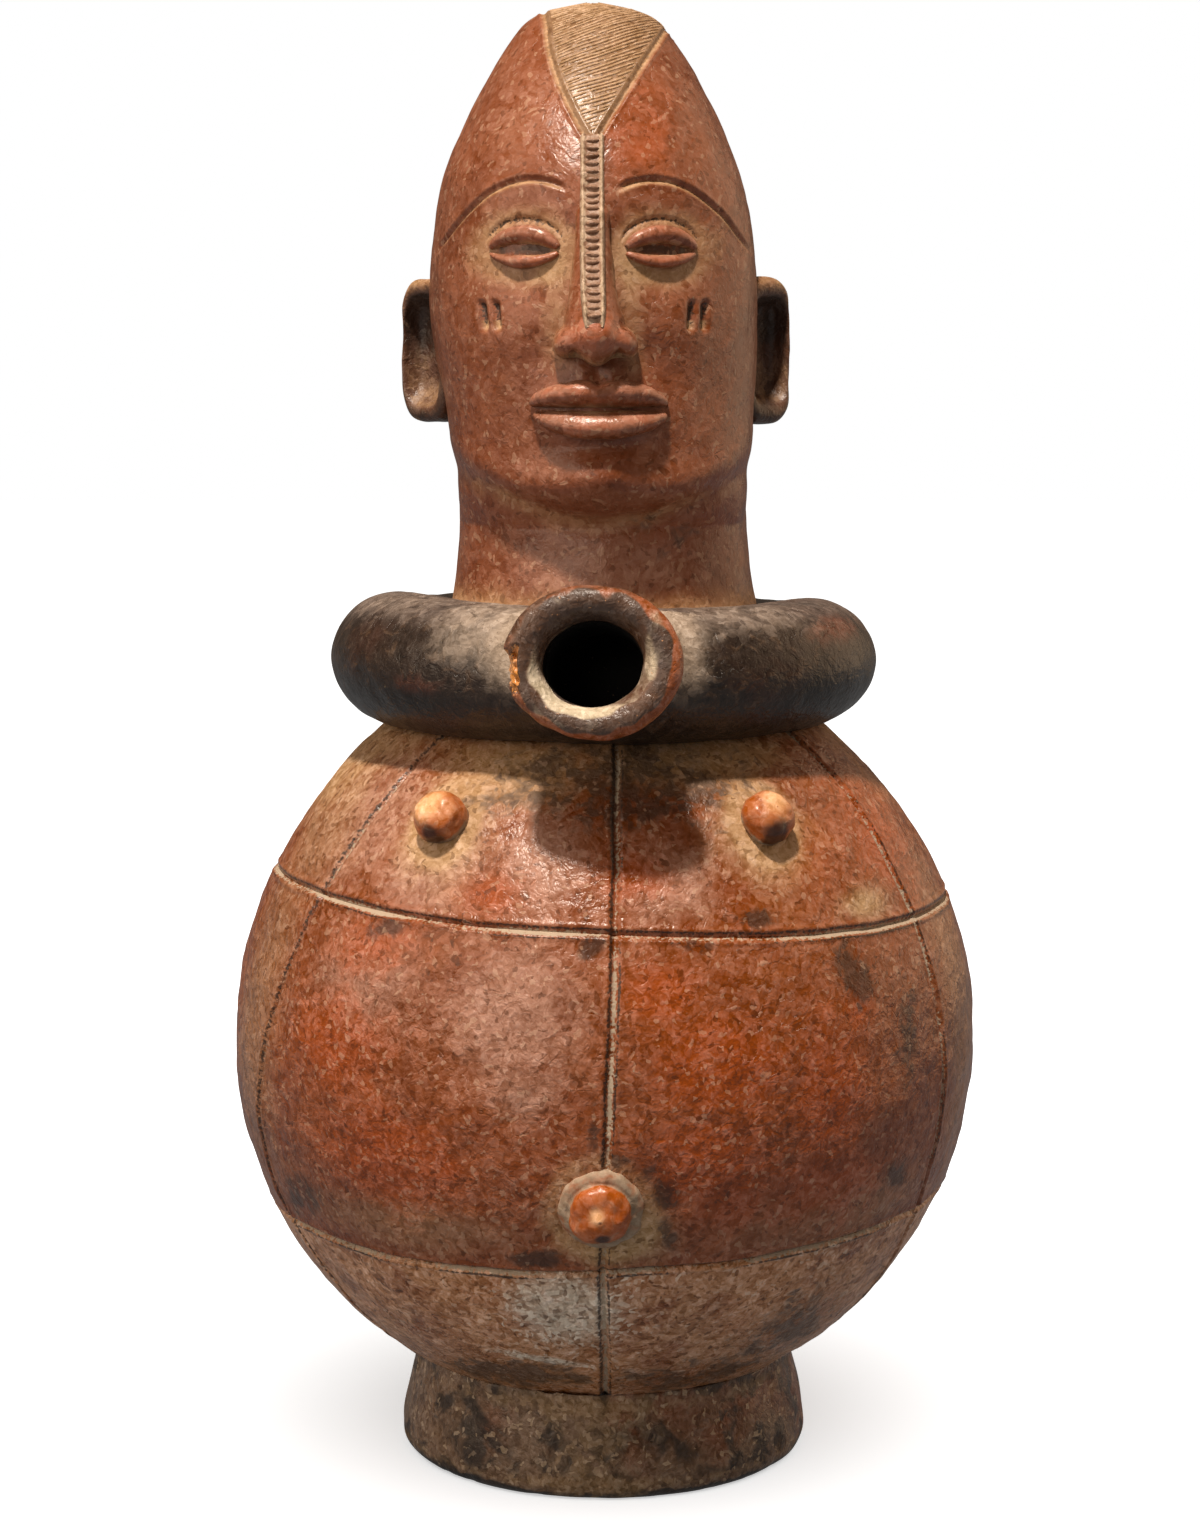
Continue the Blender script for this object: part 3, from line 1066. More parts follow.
spout_round = np.hypot(from_start @ spout_side, from_start @ spout_up / SPOUT_OVAL)
facing_spout = from_start @ spout_way > 2 * MM
fillet = bell(np.maximum(spout_round - SPOUT_RADIUS, 0), FILLET_WIDTH) * facing_spout
pit = unit((SPOUT_BORE * 1.06 - spout_round) / (0.8 * MM)) * facing_spout
collar_points += (FILLET_RISE * fillet - PIT_DEPTH * pit)[:, None] * spout_way
ring_radius = np.hypot(collar_points[:, 0], collar_points[:, 1])
neck_radius = np.interp(collar_points[:, 2] / MM, *NECK_SEAT) * MM
seat_radius = np.maximum(belly_radius(collar_points[:, 2]) + 0.2 * MM, neck_radius)
push = np.maximum(seat_radius / np.maximum(ring_radius, 1e-6), 1)
in_seat = (collar_points[:, 2] < RING_HEIGHT * MM) | (ring_radius < 40 * MM)
collar_points[:, :2] *= np.where(in_seat, push, 1)[:, None]
collar.data.vertices.foreach_set("co", collar_points.reshape(-1))

collar_angle = np.degrees(np.arctan2(collar_points[:, 0], -collar_points[:, 1]))
collar_height = collar_points[:, 2] / MM
by_spout = bell(spout_round / MM - 18, 5) * facing_spout * unit((collar_height - 171) / 9)
collar_marks = {
    "dust": 0.95 * by_spout + 0.5 * bell(ring_radius / MM - 34, 3),
    "soot": np.zeros_like(sag),
    "ember": np.zeros_like(sag),
    "rub": 0.8 * unit((collar_height + sag - 186) / 5),
    "deep": pit,
}
for mark, strength, at_angle, at_height, half_width, half_height, core in COLLAR_BLOTCHES:
    place = (collar_angle - at_angle, collar_height - at_height)
    collar_marks[mark] += strength * blotch(*place, half_width, half_height, core)
for mark, amount in collar_marks.items():
    data = collar.data.attributes.new(mark, "FLOAT", "POINT").data
    data.foreach_set("value", np.clip(amount, 0, 1.2).astype(np.float32))
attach(collar, "root")
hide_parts("collar_ring_lower", "collar_ring_upper")

# Spout: a short tube luted to the ring's front, and a coil that thickens its mouth. The coil is chipped on
# the left, where the fresh clay shows, and its seam has opened below the chip.
SPOUT_COLUMNS = 300
CHIP_ANGLE = math.radians(186)
CRACK_ANGLE = math.radians(222)
SEAM = 25.0
# stretches of (distance along the spout, radius) in mm and their counts: outside, then end and bore
TUBE_OUTLINE = (
    ([(3, 15.4), (9, 15.5), (14, 15.2), (19, 15.0), (23.5, 15.9), (24.8, 16.2), (25.1, 15.5)], 70),
    ([(25.0, 12), (25.0, 10.2), (20, 9.9), (3, 9.9)], 24),
)
# seam, then coil
MOUTH_OUTLINE = (
    ([(25.15, 10.2), (25.15, 13), (25.15, 15.4)], 8),
    ([(25.3, 16.2), (25.9, 17.4), (27.4, 18.1), (29.0, 17.8), (30.2, 16.7), (30.7, 15.2), (30.5, 13.6),
      (29.6, 12.1), (27.8, 10.8), (25.6, 10.1)], 110),
)
spout_angles = np.linspace(0, 2 * math.pi, SPOUT_COLUMNS, endpoint=False)


def spout_rings(outline):
    """Rings of points round the spout's axis from an outline of (distance, radius) in mm."""
    reach, radius = (outline[:, i, None, None] * MM for i in (0, 1))
    around = np.cos(spout_angles)[:, None] * spout_side
    around = around + SPOUT_OVAL * np.sin(spout_angles)[:, None] * spout_up
    return SPOUT_START + reach * spout_way + radius * around


def angle_off(angle):
    """Degrees between the spout's columns and an angle."""
    return np.degrees(np.abs(half_turn(spout_angles - angle)))


crack = np.exp(-(angle_off(CRACK_ANGLE) / 22) ** 4)
sun_side = 0.5 + 0.5 * np.sin(spout_angles)
tube_outline = np.vstack([smooth_line(*stretch) for stretch in TUBE_OUTLINE])
tube_reach, tube_radius = tube_outline[:, :1], tube_outline[:, 1:]
tube_rings = spout_rings(tube_outline)
tube_rings = pushed(tube_rings, swells(tube_rings, (0.22, 18, 51), (0.08, 6, 52)))
tube_rings -= (0.7 * MM * crack * bell(tube_reach - SEAM, 1.2))[..., None] * spout_way
tube_inside = 1.0 * (tube_radius < 12)
lower_side = np.cos(spout_angles - 5.4) > -0.2
tube_marks = {
    "soot": unit(tube_inside + crack * (tube_reach > 23.5)),
    "deep": tube_inside * unit((24 - tube_reach) / 6),
    "ember": 0.9 * lower_side * unit((tube_reach - 19) / 4) * (1 - tube_inside),
    "dust": 0.7 * bell(tube_reach - 12.5, 3.5) * (1 - tube_inside),
}
spout = clay_piece("spout", tube_rings, smoked_clay, tube_marks)

mouth_outline = np.vstack([smooth_line(*stretch) for stretch in MOUTH_OUTLINE])
mouth_reach, mouth_radius = mouth_outline[:, :1], mouth_outline[:, 1:]
mouth_rings = spout_rings(mouth_outline)
chip_edge = angle_off(CHIP_ANGLE) / 19 + 0.25 * unevenness(mouth_rings, 4, 55)
chip = unit((1.0 - chip_edge) * 3) * unit((mouth_radius - 14.6) / 0.5)
chip_depth = 1.5 * MM * chip * (1 + 0.25 * unevenness(mouth_rings, 2.2, 56))
mouth_rings = pushed(mouth_rings, swells(mouth_rings, (0.26, 20, 53), (0.10, 6, 54)) - chip_depth)
mouth_rings += (0.6 * MM * crack * bell(mouth_reach - SEAM, 1.2))[..., None] * spout_way
wander = unevenness(mouth_rings, 6, 57)
bevel = unit(13.5 - mouth_radius + 0.5 * wander) * (mouth_reach > 25.4)
coil_side = unit((mouth_radius - 16.1 + 0.7 * wander) / 0.6)
mouth_soot = 0.60 * (1 - bevel) * (1 - coil_side) + crack * (mouth_reach < 26) + bevel * (sun_side - 0.35)
mouth_marks = {
    "soot": unit(mouth_soot) * (1 - chip),
    "ember": coil_side * unit(0.75 + 0.5 * np.cos(spout_angles + 0.6)) * (1 - chip),
    "dust": 1.1 * bevel * unit(0.9 - sun_side),
    "chip": chip,
}
# the bowl's brown slip, browner from hands, with red where the coil bulges and raw orange in the chip
mouth_clay = fired_clay(
    "burnished_brown_clay_mouth",
    ("#5e4435", "#4e372a", "#6c503f"),
    (
        (None, "flake", 0.10, 0.40, "#42302a", 0.60),
        (None, "stroke", 0.42, 0.62, "#85746a", 0.32),
        ("ember", "flake", 0.05, 1.00, "#98512a", 0.85),
        ("soot", "flake", 0.20, 0.90, "#3d322d", 0.80),
        ("dust", "patch", 0.20, 0.90, "#cfc0a6", 0.90),
        ("chip", "grain", 0.40, 0.60, "#d2945c", 0.95),
    ),
    gloss=(0.30, 0.48),
)
spout_mouth = clay_piece("spout_mouth", mouth_rings, mouth_clay, mouth_marks)
for piece, node, slot in ((spout, "spout_tube", "smoked_clay"), (spout_mouth, "spout_lip", "brown_clay")):
    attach(piece, "root")
    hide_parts(node)

# Nose, lids and lips: rolls of soft clay pressed on the face and shaped with the fingers, then rubbed with
# the rest. Dust has stayed in the folds beside them.
ROLL_SIDES = 40
ROLL_STEPS = 72
ROLL_SINK = 1.4
NOSE_SINK = 3.0
NOSE_STEPS, NOSE_UNDER_STEPS = 74, 16
NOSE_LEVELS = (
    # height above the nose's base, half width and reach
    (0.6, 7.4, 6.6),
    (2.2, 8.7, 9.4),
    (5.6, 7.9, 10.8),
    (10.0, 5.8, 9.2),
    (16.0, 4.6, 6.6),
    (23.0, 3.9, 4.2),
    (29.5, 3.4, 2.4),
    (32.0, 2.4, 0.8),
)
roll_angles = np.linspace(0, 2 * math.pi, ROLL_SIDES, endpoint=False)
roll_cos, roll_sin = np.cos(roll_angles), np.sin(roll_angles)


def face_roll(name, x, height, half_height, reach):
    """Roll of clay along points (x, height) of the face, with its half height and reach at each, in mm."""
    centre, out = face_place(x, height)
    along = np.gradient(centre, axis=0)
    along /= np.linalg.norm(along, axis=1, keepdims=True)
    upward = np.cross(out, along)
    depth = np.where(roll_cos > 0, reach[:, None] * roll_cos, ROLL_SINK * roll_cos) * MM
    rings = centre[:, None] + out[:, None] * depth[..., None]
    rings -= upward[:, None] * (half_height[:, None] * roll_sin * MM)[..., None]
    rings = pushed(rings, swells(rings, (0.10, 9, 61), (0.04, 3.5, 62)))
    marks = {
        "dust": 0.9 * unit(0.75 - roll_cos),
        "rub": unit(roll_cos - 0.25 - 0.4 * roll_sin),
        "ember": 0.55 * unit(roll_cos),
    }
    return clay_piece(name, rings, head_clay, marks, [centre[0], centre[-1]])


face_pieces = []
share = np.linspace(-0.985, 0.985, ROLL_STEPS)
full = np.sqrt(1 - share ** 2)
for side, side_name in ((1, "left"), (-1, "right")):
    across = side * EYE_WIDTH + 7.2 * share
    lid_line = EYE_HEIGHT - 0.2 + 2.9 * full ** 1.6
    lid_above = face_roll("lid_above_" + side_name, across, lid_line, 0.3 + 1.7 * full, 0.3 + 2.1 * full)
    face_pieces.append((lid_above, "eyelid_upper_" + side_name, "red_clay"))
    lid_line = EYE_HEIGHT - 1.0 - 1.9 * full ** 1.6
    lid_below = face_roll("lid_below_" + side_name, across, lid_line, 0.25 + 1.05 * full, 0.2 + 1.4 * full)
    face_pieces.append((lid_below, "eyelid_lower_" + side_name, "red_clay"))
bowed = full * (1 - 0.22 * bell(share, 0.13))
lip_line = MOUTH + 0.3 + 2.8 * bowed
lip_above = face_roll("lip_above", 14.2 * share, lip_line, 0.35 + 2.6 * bowed, 0.5 + 4.3 * full ** 1.2)
lip_line = MOUTH - 0.6 - 2.8 * full
lip_below = face_roll("lip_below", 13.6 * share, lip_line, 0.35 + 2.6 * full, 0.5 + 4.2 * full ** 1.2)
face_pieces += [(lip_above, "upper_lip", "brown_clay"), (lip_below, "lower_lip", "brown_clay")]

nose_line = smooth_line(NOSE_LEVELS, NOSE_STEPS)
nose_scale = np.concatenate((np.linspace(0.12, 0.97, NOSE_UNDER_STEPS), np.ones(NOSE_STEPS)))[:, None]
nose_line = np.vstack((np.tile(nose_line[0], (NOSE_UNDER_STEPS, 1)), nose_line))
above_base = nose_line[:, :1] - 0.7 * np.sqrt(unit(1 - nose_scale ** 2))
nose_height = NOSE_BASE + above_base
nose_spine, _ = face_place(np.zeros(len(nose_line)), nose_height[:, 0])
nose_x = nose_line[:, 1:2] * nose_scale * roll_sin
nose_aside = np.abs(nose_x)
nose_reach = np.where(roll_cos > 0, nose_line[:, 2:] * roll_cos, NOSE_SINK * roll_cos) * nose_scale
is_under = unit((1 - nose_scale) * 8)
nostril = bell(nose_aside - 4.0, 1.7) * bell(nose_reach - 4.2, 1.9) * is_under
at_base = bell(np.maximum(above_base, 0), 2.4) * unit(roll_cos + 0.4)
nose_level = nose_height + 4.5 * nostril
nose_level += at_base * (0.9 * bell(nose_aside - 4.6, 1.5) - 1.5 * bell(nose_x, 2.6))
nose_parts = (nose_spine[:, :1] + nose_x * MM, nose_spine[:, 1:2] - nose_reach * MM, nose_level * MM)
nose_rings = np.stack(nose_parts, -1)
nose_rise = 0.12 * unevenness(nose_rings, 10, 63)
for aside, level, wide, tall, rise in (
    # wings, the folds over them, and the tip: how far aside, height, half width, half height, rise
    (6.8, 2.8, 1.6, 2.4, 1.0),
    (4.6, 4.0, 0.9, 2.8, -0.8),
    (6.4, 7.0, 2.0, 1.1, -0.7),
    (0.0, 3.5, 3.0, 2.8, 0.5),
):
    nose_rise += rise * bell(nose_aside - aside, wide) * bell(above_base - level, tall)
nose_rings = pushed(nose_rings, MM * nose_rise * (1 - is_under))
nose_marks = {
    "dust": 0.85 * unit(0.7 - roll_cos) * (1 - nostril) + 0.5 * bell(above_base, 1.5),
    "soot": unit(1.3 * nostril),
    "ember": 0.75 * bell(above_base - 5, 5) * unit(roll_cos),
    "rub": unit(roll_cos) * bell(above_base - 5, 4),
}
nose_poles = [(*nose_spine[0, :2], (NOSE_BASE - 0.1) * MM), (*nose_spine[-1, :2], nose_height[-1, 0] * MM)]
nose_wedge = clay_piece("nose_wedge", nose_rings, head_clay, nose_marks, nose_poles)
face_pieces.append((nose_wedge, "nose", "red_clay"))
for piece, node, slot in face_pieces:
    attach(piece, "root")
    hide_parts(node)

# Forehead ridge: a strip of clay laid from the hair's point down the bridge of the nose, with a rail left
# standing at each edge and short cross cuts pressed in between them.
RIDGE_TOP = 289.5
RIDGE_END = NOSE_BASE + 6.5
RIDGE_HALF_WIDTH = 2.6
RIDGE_RISE = 1.3
RIDGE_SINK = 2.2
RIDGE_STEPS, STRIP_STEPS = 120, 33
RAIL_PLACE = 0.78
ridge_height = np.linspace(RIDGE_END, RIDGE_TOP, RIDGE_STEPS)
bridge_heights, _, bridge_reach = np.array(NOSE_LEVELS + ((34.0, 0.0, 0.0),)).T
ridge_base, _ = face_place(np.zeros_like(ridge_height), ridge_height)
ridge_base[:, 1] -= np.interp(ridge_height - NOSE_BASE, bridge_heights, bridge_reach) * MM
ridge_along = np.gradient(ridge_base, axis=0)
ridge_along /= np.linalg.norm(ridge_along, axis=1, keepdims=True)
ridge_out = np.cross(np.array((1.0, 0, 0)), ridge_along)
strip_share = np.linspace(-1, 1, STRIP_STEPS)
strip_rise = RIDGE_RISE * (1 - strip_share ** 8) + 0.55 * bell(np.abs(strip_share) - RAIL_PLACE, 0.16)
section_x = np.concatenate((strip_share, strip_share[::-1][1:-1] * 0.9)) * RIDGE_HALF_WIDTH
section_out = np.concatenate((strip_rise - 0.5, np.full(STRIP_STEPS - 2, -RIDGE_SINK)))
taper = 0.86 + 0.14 * unit((ridge_height - RIDGE_END) / 6)
fade = unit((ridge_height - RIDGE_END) / 2.5)[:, None]
ridge_rings = ridge_base[:, None] + (taper[:, None] * section_x)[..., None] * np.array((MM, 0, 0))
ridge_rings += ridge_out[:, None] * (section_out - 0.8 * (1 - fade))[..., None] * MM
ridge_rings += ridge_out[:, None] * swells(ridge_rings, (0.10, 7, 65), (0.05, 2.6, 66))[..., None]
rail = bell(np.abs(section_x) / RIDGE_HALF_WIDTH - RAIL_PLACE, 0.2) * (section_out > 0)
ridge_marks = {"dust": 0.95 * rail + 0.25, "rub": 0.5}
# clay left matt under the cuts: a dry tan, paler where dust has filled it
tan_clay = fired_clay(
    "dusty_tan_clay",
    ("#8d6a52", "#7d5a46", "#9c7a62"),
    (
        (None, "fleck", 0.10, 0.40, "#6d4c38", 0.55),
        ("rub", "fleck", 0.20, 1.20, "#ae937c", 0.60),
        ("dust", "fleck", 0.40, 1.10, "#bda58a", 0.80),
    ),
    gloss=(0.42, 0.62),
    mottle=0.7,
)
ridge_band = clay_piece("ridge_band", ridge_rings, tan_clay, ridge_marks, [ridge_base[0], ridge_base[-1]])
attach(ridge_band, "root")
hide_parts("forehead_ridge")

# Cross cuts of the ridge: short bars left standing between the cuts, rubbed shiny on top. They are of one
# clay with the strip and follow its slope, each a little askew.
BAR_PITCH = 1.65
BAR_SINK = 0.45
# steps of the ridge that carry bars
BAR_SPAN = slice(6, -4)
BAR_COUNT = int((RIDGE_TOP - RIDGE_END - 4) / BAR_PITCH * 1.12)
bar_tree, given, bar_values = node_tree("bars_along_ridge", (
    ("Geometry", "NodeSocketGeometry", None),
    ("Bars", "NodeSocketInt", BAR_COUNT),
    ("Bar size", "NodeSocketVector", (1.5 * MM, 0.52 * MM, 0.55 * MM)),
    ("Tilt", "NodeSocketFloat", 0.12),
    ("Seed", "NodeSocketInt", 7),
    ("Clay", "NodeSocketMaterial", tan_clay),
))
spine = add_node(bar_tree, "GeometryNodeMeshToCurve", {"Mesh": given["Geometry"]})
spine = add_node(bar_tree, "GeometryNodeResampleCurve", {"Curve": spine, "Count": given["Bars"]})
bar = add_node(bar_tree, "GeometryNodeMeshUVSphere", {"Segments": 8, "Rings": 6, "Radius": 1.0})
bar = add_node(bar_tree, "GeometryNodeTransform", {"Geometry": bar, "Scale": given["Bar size"]})
out_way = add_node(bar_tree, "GeometryNodeInputNamedAttribute", {"Name": "out"}, data_type="FLOAT_VECTOR")
stand = add_node(bar_tree, "FunctionNodeAlignRotationToVector", {"Vector": out_way}, axis="Z")
inputs = {"Rotation": stand, "Vector": (1, 0, 0)}
level = add_node(bar_tree, "FunctionNodeAlignRotationToVector", inputs, axis="X", pivot_axis="Z")
low = add_node(bar_tree, "ShaderNodeMath", {0: given["Tilt"], 1: -1.0}, operation="MULTIPLY")
inputs = {2: low, 3: given["Tilt"], "Seed": given["Seed"]}
tilt = add_node(bar_tree, "FunctionNodeRandomValue", inputs, 1, data_type="FLOAT")
lean = add_node(bar_tree, "FunctionNodeAxisAngleToRotation", {"Axis": (0, 0, 1), "Angle": tilt})
turned = add_node(bar_tree, "FunctionNodeRotateRotation", {0: level, 1: lean}, rotation_space="LOCAL")
inputs = {"Points": spine, "Instance": bar, "Rotation": turned}
close_tree(bar_tree, add_node(bar_tree, "GeometryNodeInstanceOnPoints", inputs), given["Clay"])

bar_spine = bpy.data.meshes.new("ridge_spine")
spine_points = (ridge_base + ridge_out * (RIDGE_RISE - BAR_SINK) * MM)[BAR_SPAN]
bar_spine.from_pydata(spine_points, [(i, i + 1) for i in range(len(spine_points) - 1)], [])
spine_out = bar_spine.attributes.new("out", "FLOAT_VECTOR", "POINT").data
spine_out.foreach_set("vector", ridge_out[BAR_SPAN].astype(np.float32).reshape(-1))
ridge_bars = bake_nodes("ridge_bars", bar_tree, bar_values, bar_spine)
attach(ridge_bars, "root")

# Hair: the crown's wedge is combed with close slanting strokes of a pointed stick, which leave low ridges of
# clay standing between them. Dust has settled there and makes the wedge pale.
HAIR_SPACING = 0.92
HAIR_STEP = 0.6
HAIR_HALF_WIDTH = 24
HAIR_STROKES = (6.0, 17.0)
HAIR_SLANTS = (15.0, 34.0)
HAIR_FIRST_STATION = 5.5
HAIR_SINK = 0.08 * MM
# clay combed while soft and never rubbed: matt and pale with dust
hair_clay = fired_clay(
    "combed_tan_clay",
    ("#a98865", "#977557", "#b89774"),
    ((None, "flake", 0.05, 0.45, "#836549", 0.60),),
    gloss=(0.5, 0.65),
    mottle=0.8,
)
hair_tree, given, hair_values = node_tree("combed_ridges", (
    ("Geometry", "NodeSocketGeometry", None),
    ("Ridge radius", "NodeSocketFloat", 0.36 * MM),
    ("Sides", "NodeSocketInt", 6),
    ("Clay", "NodeSocketMaterial", hair_clay),
))
spine = add_node(hair_tree, "GeometryNodeMeshToCurve", {"Mesh": given["Geometry"]})
inputs = {"Resolution": given["Sides"], "Radius": given["Ridge radius"]}
section = add_node(hair_tree, "GeometryNodeCurvePrimitiveCircle", inputs)
scale = add_node(hair_tree, "GeometryNodeInputNamedAttribute", {"Name": "thickness"}, data_type="FLOAT")
inputs = {"Curve": spine, "Profile Curve": section, "Scale": scale, "Fill Caps": True}
close_tree(hair_tree, add_node(hair_tree, "GeometryNodeCurveToMesh", inputs), given["Clay"])


def hair_place(x, run, behind):
    """Point on the crown at x and at a distance up the head, before or behind, in metres."""
    station = np.interp(run, head_run, all_stations)
    half_width = np.maximum(head_sizes(station)[1], 0.1 * MM)
    angle = np.arcsin(np.clip(x / half_width, -1, 1))
    return head_point(station, np.where(behind, math.pi - angle, angle))


comb = np.random.default_rng(11)
nudge = 0.2 * MM
hair_points, hair_edges, hair_thickness = [], [], []
hair_start = np.interp(HAIR_FIRST_STATION, all_stations, head_run)
hair_end = head_run[-1] - 0.6 * MM
row_run = np.arange(hair_start, head_run[-1] + 30 * MM, HAIR_SPACING * 1.1 * MM)
row_x = np.arange(-HAIR_HALF_WIDTH, HAIR_HALF_WIDTH, HAIR_STEP) * MM
for behind in (False, True):
    for run in row_run:
        up_share = unit((run - row_run[0]) / (head_run[-1] - row_run[0]))
        slant = math.tan(math.radians(HAIR_SLANTS[0] + (HAIR_SLANTS[1] - HAIR_SLANTS[0]) * up_share))
        wave = 0.16 * MM * np.sin(row_x / MM / comb.uniform(2.5, 5) + comb.uniform(0, 6))
        at = run + row_x * slant + wave
        inside = (at > 0) & (at < hair_end)
        at = np.clip(at, 0, hair_end)
        point = hair_place(row_x, at, behind)
        along = hair_place(row_x + nudge, at, behind) - point
        upward = hair_place(row_x, at + nudge, behind) - point
        out = np.cross(along, upward) * (-1 if behind else 1)
        out /= np.maximum(np.linalg.norm(out, axis=1, keepdims=True), 1e-15)
        room = hair_room((point[:, 0] - head_lean(point[:, 2])) / MM, point[:, 2] / MM, behind)
        point = point + out * (swells(point, *HEAD_SWELLS) - HAIR_SINK)[:, None]
        ends = np.cumsum(comb.uniform(*HAIR_STROKES, 12)) + row_x[0] / MM - comb.uniform(*HAIR_STROKES)
        from_end = np.abs(row_x[:, None] / MM - ends).min(1)
        thickness = np.minimum(unit(from_end / 0.9), unit((room - 0.8) / 0.8))
        thickness *= comb.uniform(0.8, 1.1) * inside
        kept = thickness > 0.12
        for i in np.flatnonzero(kept[1:] & kept[:-1]):
            hair_edges.append((len(hair_points) + i, len(hair_points) + i + 1))
        hair_points += list(point)
        hair_thickness += list(thickness)
hair_spines = bpy.data.meshes.new("hair_spines")
hair_spines.from_pydata(hair_points, hair_edges, [])
hair_spines.attributes.new("thickness", "FLOAT", "POINT").data.foreach_set("value", hair_thickness)
hair_strokes = bake_nodes("hair_strokes", hair_tree, hair_values, hair_spines)
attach(hair_strokes, "root")

# Ears: flat tabs of clay set on edge against the sides of the head, with a hollow pressed into the outer
# face. They are smoked like the collar, and their edges are worn paler.
EAR_PLACE = (34.6, 6.0, 245.0)
EAR_TURN = math.radians(40)
EAR_HALF_WIDTH = 8.5
EAR_HALF_HEIGHT = 15.9
EAR_SQUARENESS = 3.6
EAR_COLUMNS, EAR_ROWS = 180, 110
# share of the outline, place across the thickness and shift of the hollow towards the free edge
EAR_SECTION = (
    (0.04, -4.4, 0), (0.60, -4.4, 0), (0.88, -4.1, 0), (0.98, -2.8, 0), (1.0, 0.0, 0), (0.985, 2.8, 0),
    (0.93, 4.2, 0), (0.86, 4.5, 0.2), (0.78, 4.1, 0.6), (0.70, 2.6, 1.0), (0.58, 0.6, 1.6), (0.36, -0.3, 2.2),
    (0.04, -0.5, 2.4),
)
# brown slip dulled by smoke, darkest in the hollow and paler on the worn edges
ear_clay = fired_clay(
    "smoked_brown_clay",
    ("#5e4132", "#4b3229", "#6e4f3d"),
    (
        ("ember", "flake", 0.20, 0.90, "#8a5236", 0.60),
        ("soot", "flake", 0.20, 0.90, "#2c2019", 0.85),
        ("dust", "flake", 0.10, 1.10, "#a5845f", 0.75),
    ),
    gloss=(0.30, 0.46),
    mottle=0.7,
)
ear_angles = np.linspace(0, 2 * math.pi, EAR_COLUMNS, endpoint=False)
scale, across, shift = smooth_line(EAR_SECTION, EAR_ROWS).T[..., None]
steps = np.arange(EAR_ROWS)[:, None] / EAR_ROWS
in_hollow = unit((steps - 0.62) * 12)
on_edge = bell(steps - 0.56, 0.05)
for side, side_name in ((1, "left"), (-1, "right")):
    facing = np.array((side * math.cos(EAR_TURN), -math.sin(EAR_TURN), 0))
    free_way = np.array((side * math.sin(EAR_TURN), math.cos(EAR_TURN), 0))
    cos, sin = np.cos(side * ear_angles), np.sin(side * ear_angles)
    wide = EAR_HALF_WIDTH * np.sign(cos) * np.abs(cos) ** (2 / EAR_SQUARENESS)
    tall = EAR_HALF_HEIGHT * np.sign(sin) * np.abs(sin) ** (2 / EAR_SQUARENESS)
    middle = np.array(EAR_PLACE) * (side, 1, 1) * MM
    middle[0] += head_lean(middle[2])
    along = scale * wide + shift
    upward = scale * tall
    ear_rings = middle + (along[..., None] * free_way + across[..., None] * facing) * MM
    ear_rings += upward[..., None] * np.array((0, 0, MM))
    ear_rings = pushed(ear_rings, swells(ear_rings, (0.22, 14, 71), (0.08, 5, 72)))
    low_soot = 0.8 * unit(-upward / 14 - 0.1) * (1 - in_hollow)
    edge_dust = 0.7 * on_edge * (along > 2) + 0.8 * unit((upward - 12) / 3)
    ear_marks = {
        "soot": in_hollow * unit(0.5 + upward / 12) + low_soot,
        "dust": 0.55 * in_hollow * unit(0.2 - upward / 12) + edge_dust,
        "ember": 0.7 * on_edge + 0.5 * unit((upward - 11) / 4),
    }
    ear_poles = [ear_rings[0].mean(0), ear_rings[-1].mean(0)]
    ear_tab = clay_piece("ear_tab_" + side_name, ear_rings, ear_clay, ear_marks, ear_poles)
    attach(ear_tab, "root")
    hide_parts("ear_" + side_name)

# Pellets: three balls of clay pressed on the belly, two for the breasts and a larger one for the navel.
# Hands have rubbed them orange and shiny, and dust has stayed in the crease round them.
PELLET_COLUMNS, PELLET_ROWS = 120, 84
# reach in mm, height of the crease as a share of it, and strength of the bumps
PELLET_KINDS = {"breast": (7.0, 0.16, 1.0), "navel": (5.8, 0.32, 1.4)}
PELLET_SHAPES = {
    # share of the half width and of the reach
    "breast": (
        (0.80, -0.50), (0.88, -0.10), (0.96, 0.14), (1.0, 0.36), (0.93, 0.62), (0.72, 0.86), (0.40, 0.97),
        (0.04, 1.0),
    ),
    "navel": (
        (0.98, -0.50), (1.02, -0.06), (0.97, 0.14), (0.86, 0.25), (0.77, 0.28), (0.735, 0.34), (0.73, 0.46),
        (0.67, 0.70), (0.50, 0.90), (0.26, 0.98), (0.04, 1.0),
    ),
}
PELLET_WEAR = {
    # rubbed spot and sooty spot: place and reach in shares of the half width
    "breast_knob_left": ((0.10, 0.30, 0.60), (-0.10, -1.15, 0.62)),
    "breast_knob_right": ((-0.20, 0.15, 0.80), (0.15, -1.15, 0.58)),
    "navel_knob": ((-0.10, 0.15, 0.20), (0.05, -0.50, 0.20)),
}
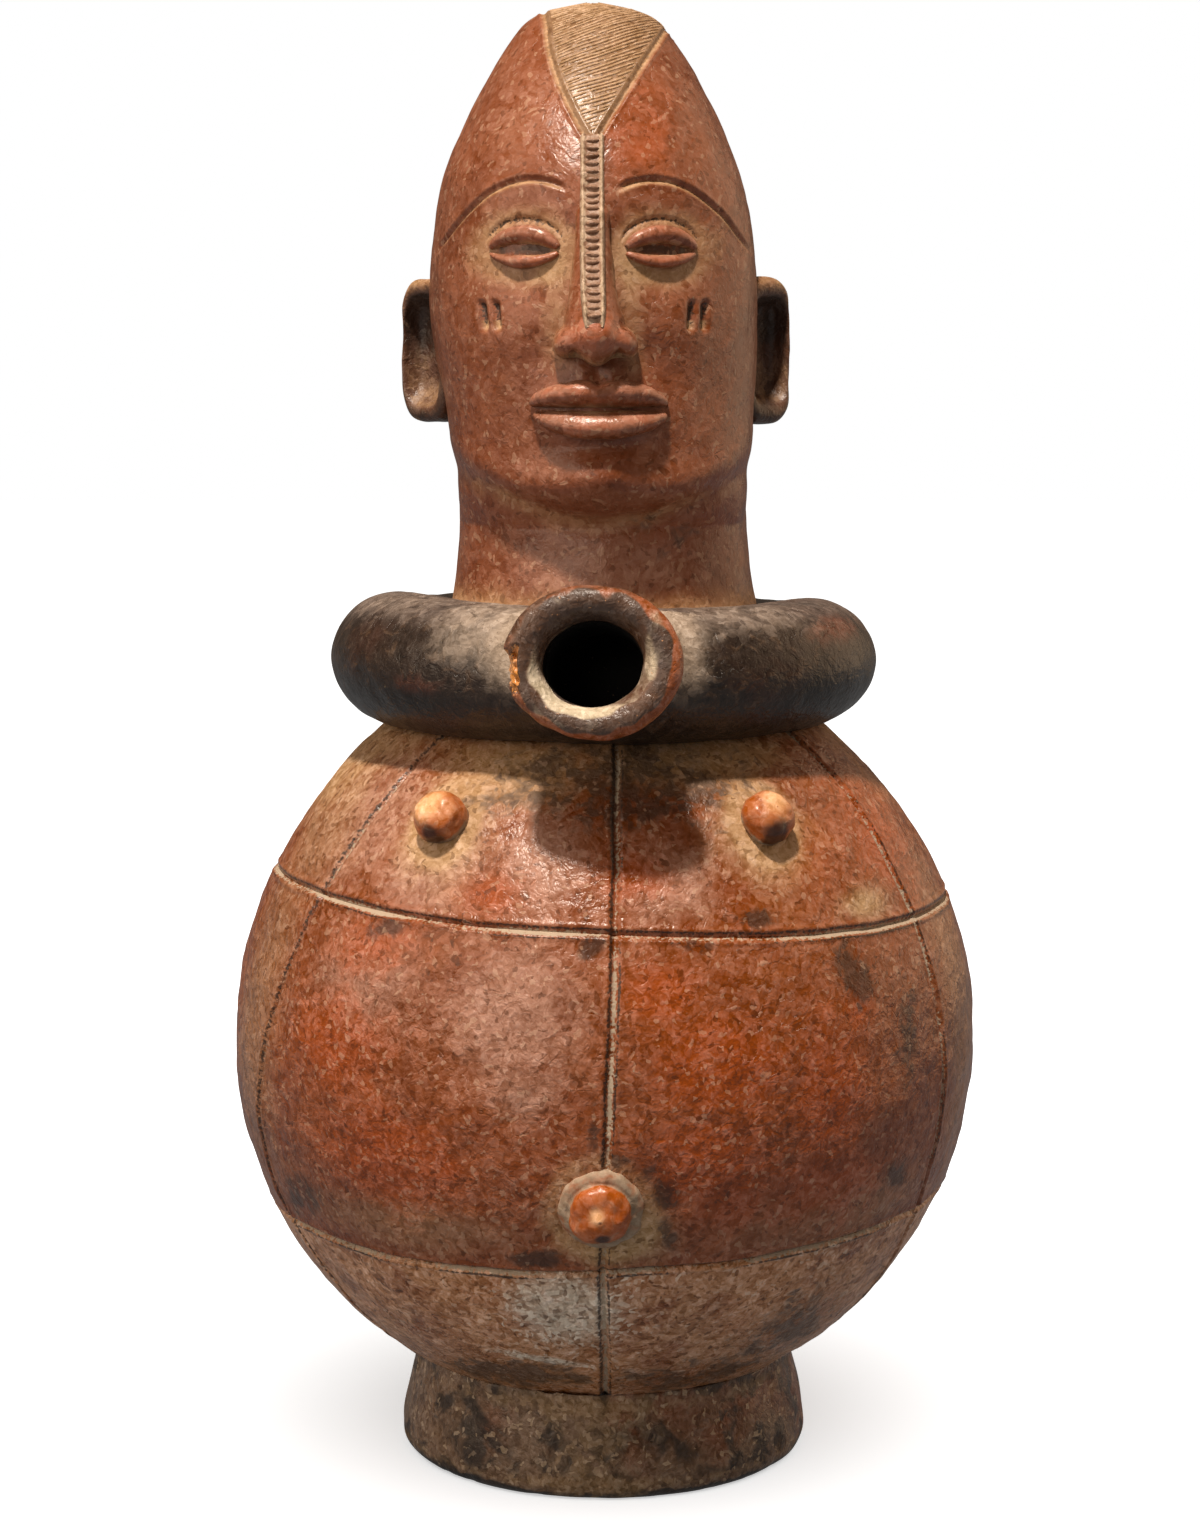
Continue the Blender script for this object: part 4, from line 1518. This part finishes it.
# clay polished by many hands: warm orange, shiny and pale at the top
orange_clay = fired_clay(
    "handled_orange_clay",
    ("#a65628", "#8e471f", "#b56634"),
    (
        (None, "flake", 0.00, 0.60, "#8a431f", 0.55),
        ("rub", "haze", 0.00, 0.90, "#ecb886", 0.85),
        ("soot", "haze", 0.25, 0.75, "#2c140a", 0.90),
        ("dust", "dab", 0.10, 1.30, "#9a8873", 0.95),
    ),
    gloss=(0.26, 0.40),
    mottle=0.55,
    skin=0.12,
)
pellet_angles = np.linspace(0, 2 * math.pi, PELLET_COLUMNS, endpoint=False)
cos, sin = np.cos(pellet_angles), np.sin(pellet_angles)
for node, at_angle, at_height, half_width in KNOBS:
    kind = node.split("_")[0]
    reach, crease, roughness = PELLET_KINDS[kind]
    turned = math.radians(at_angle)
    low, high = (float(belly_radius(np.array((at_height + step) * MM))) for step in (-0.5, 0.5))
    radius = (low + high) / 2
    slope = math.atan2(low - high, MM)
    out = np.array((math.sin(turned) * math.cos(slope), -math.cos(turned) * math.cos(slope), math.sin(slope)))
    aside = np.array((math.cos(turned), math.sin(turned), 0.0))
    upward = np.cross(out, aside)
    foot_point = np.array((radius * math.sin(turned), -radius * math.cos(turned), at_height * MM))
    width_share, reach_share = smooth_line(PELLET_SHAPES[kind], PELLET_ROWS).T[..., None]
    around = cos[:, None] * aside + sin[:, None] * upward
    rings = width_share[..., None] * half_width * MM * around + reach_share[..., None] * reach * MM * out
    rings += foot_point
    seed = 80 + int(at_height + at_angle) % 7
    rings = pushed(rings, roughness * swells(rings, (0.22, 7, seed), (0.07, 2.6, seed + 10)))
    rubbed, sooty = (
        bell(np.hypot(width_share * cos - x, width_share * sin - y), size) * (reach_share > 0)
        for x, y, size in PELLET_WEAR[node]
    )
    pellet_marks = {
        "dust": 1.1 * unit((crease + 0.10 - reach_share) / 0.12),
        "soot": 1.1 * sooty,
        "rub": 0.85 * rubbed,
    }
    poles = [foot_point - 0.5 * reach * MM * out, foot_point + reach * MM * out]
    pellet = clay_piece(node.replace("_knob", "_pellet"), rings, orange_clay, pellet_marks, poles)
    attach(pellet, "root")
    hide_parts(node)
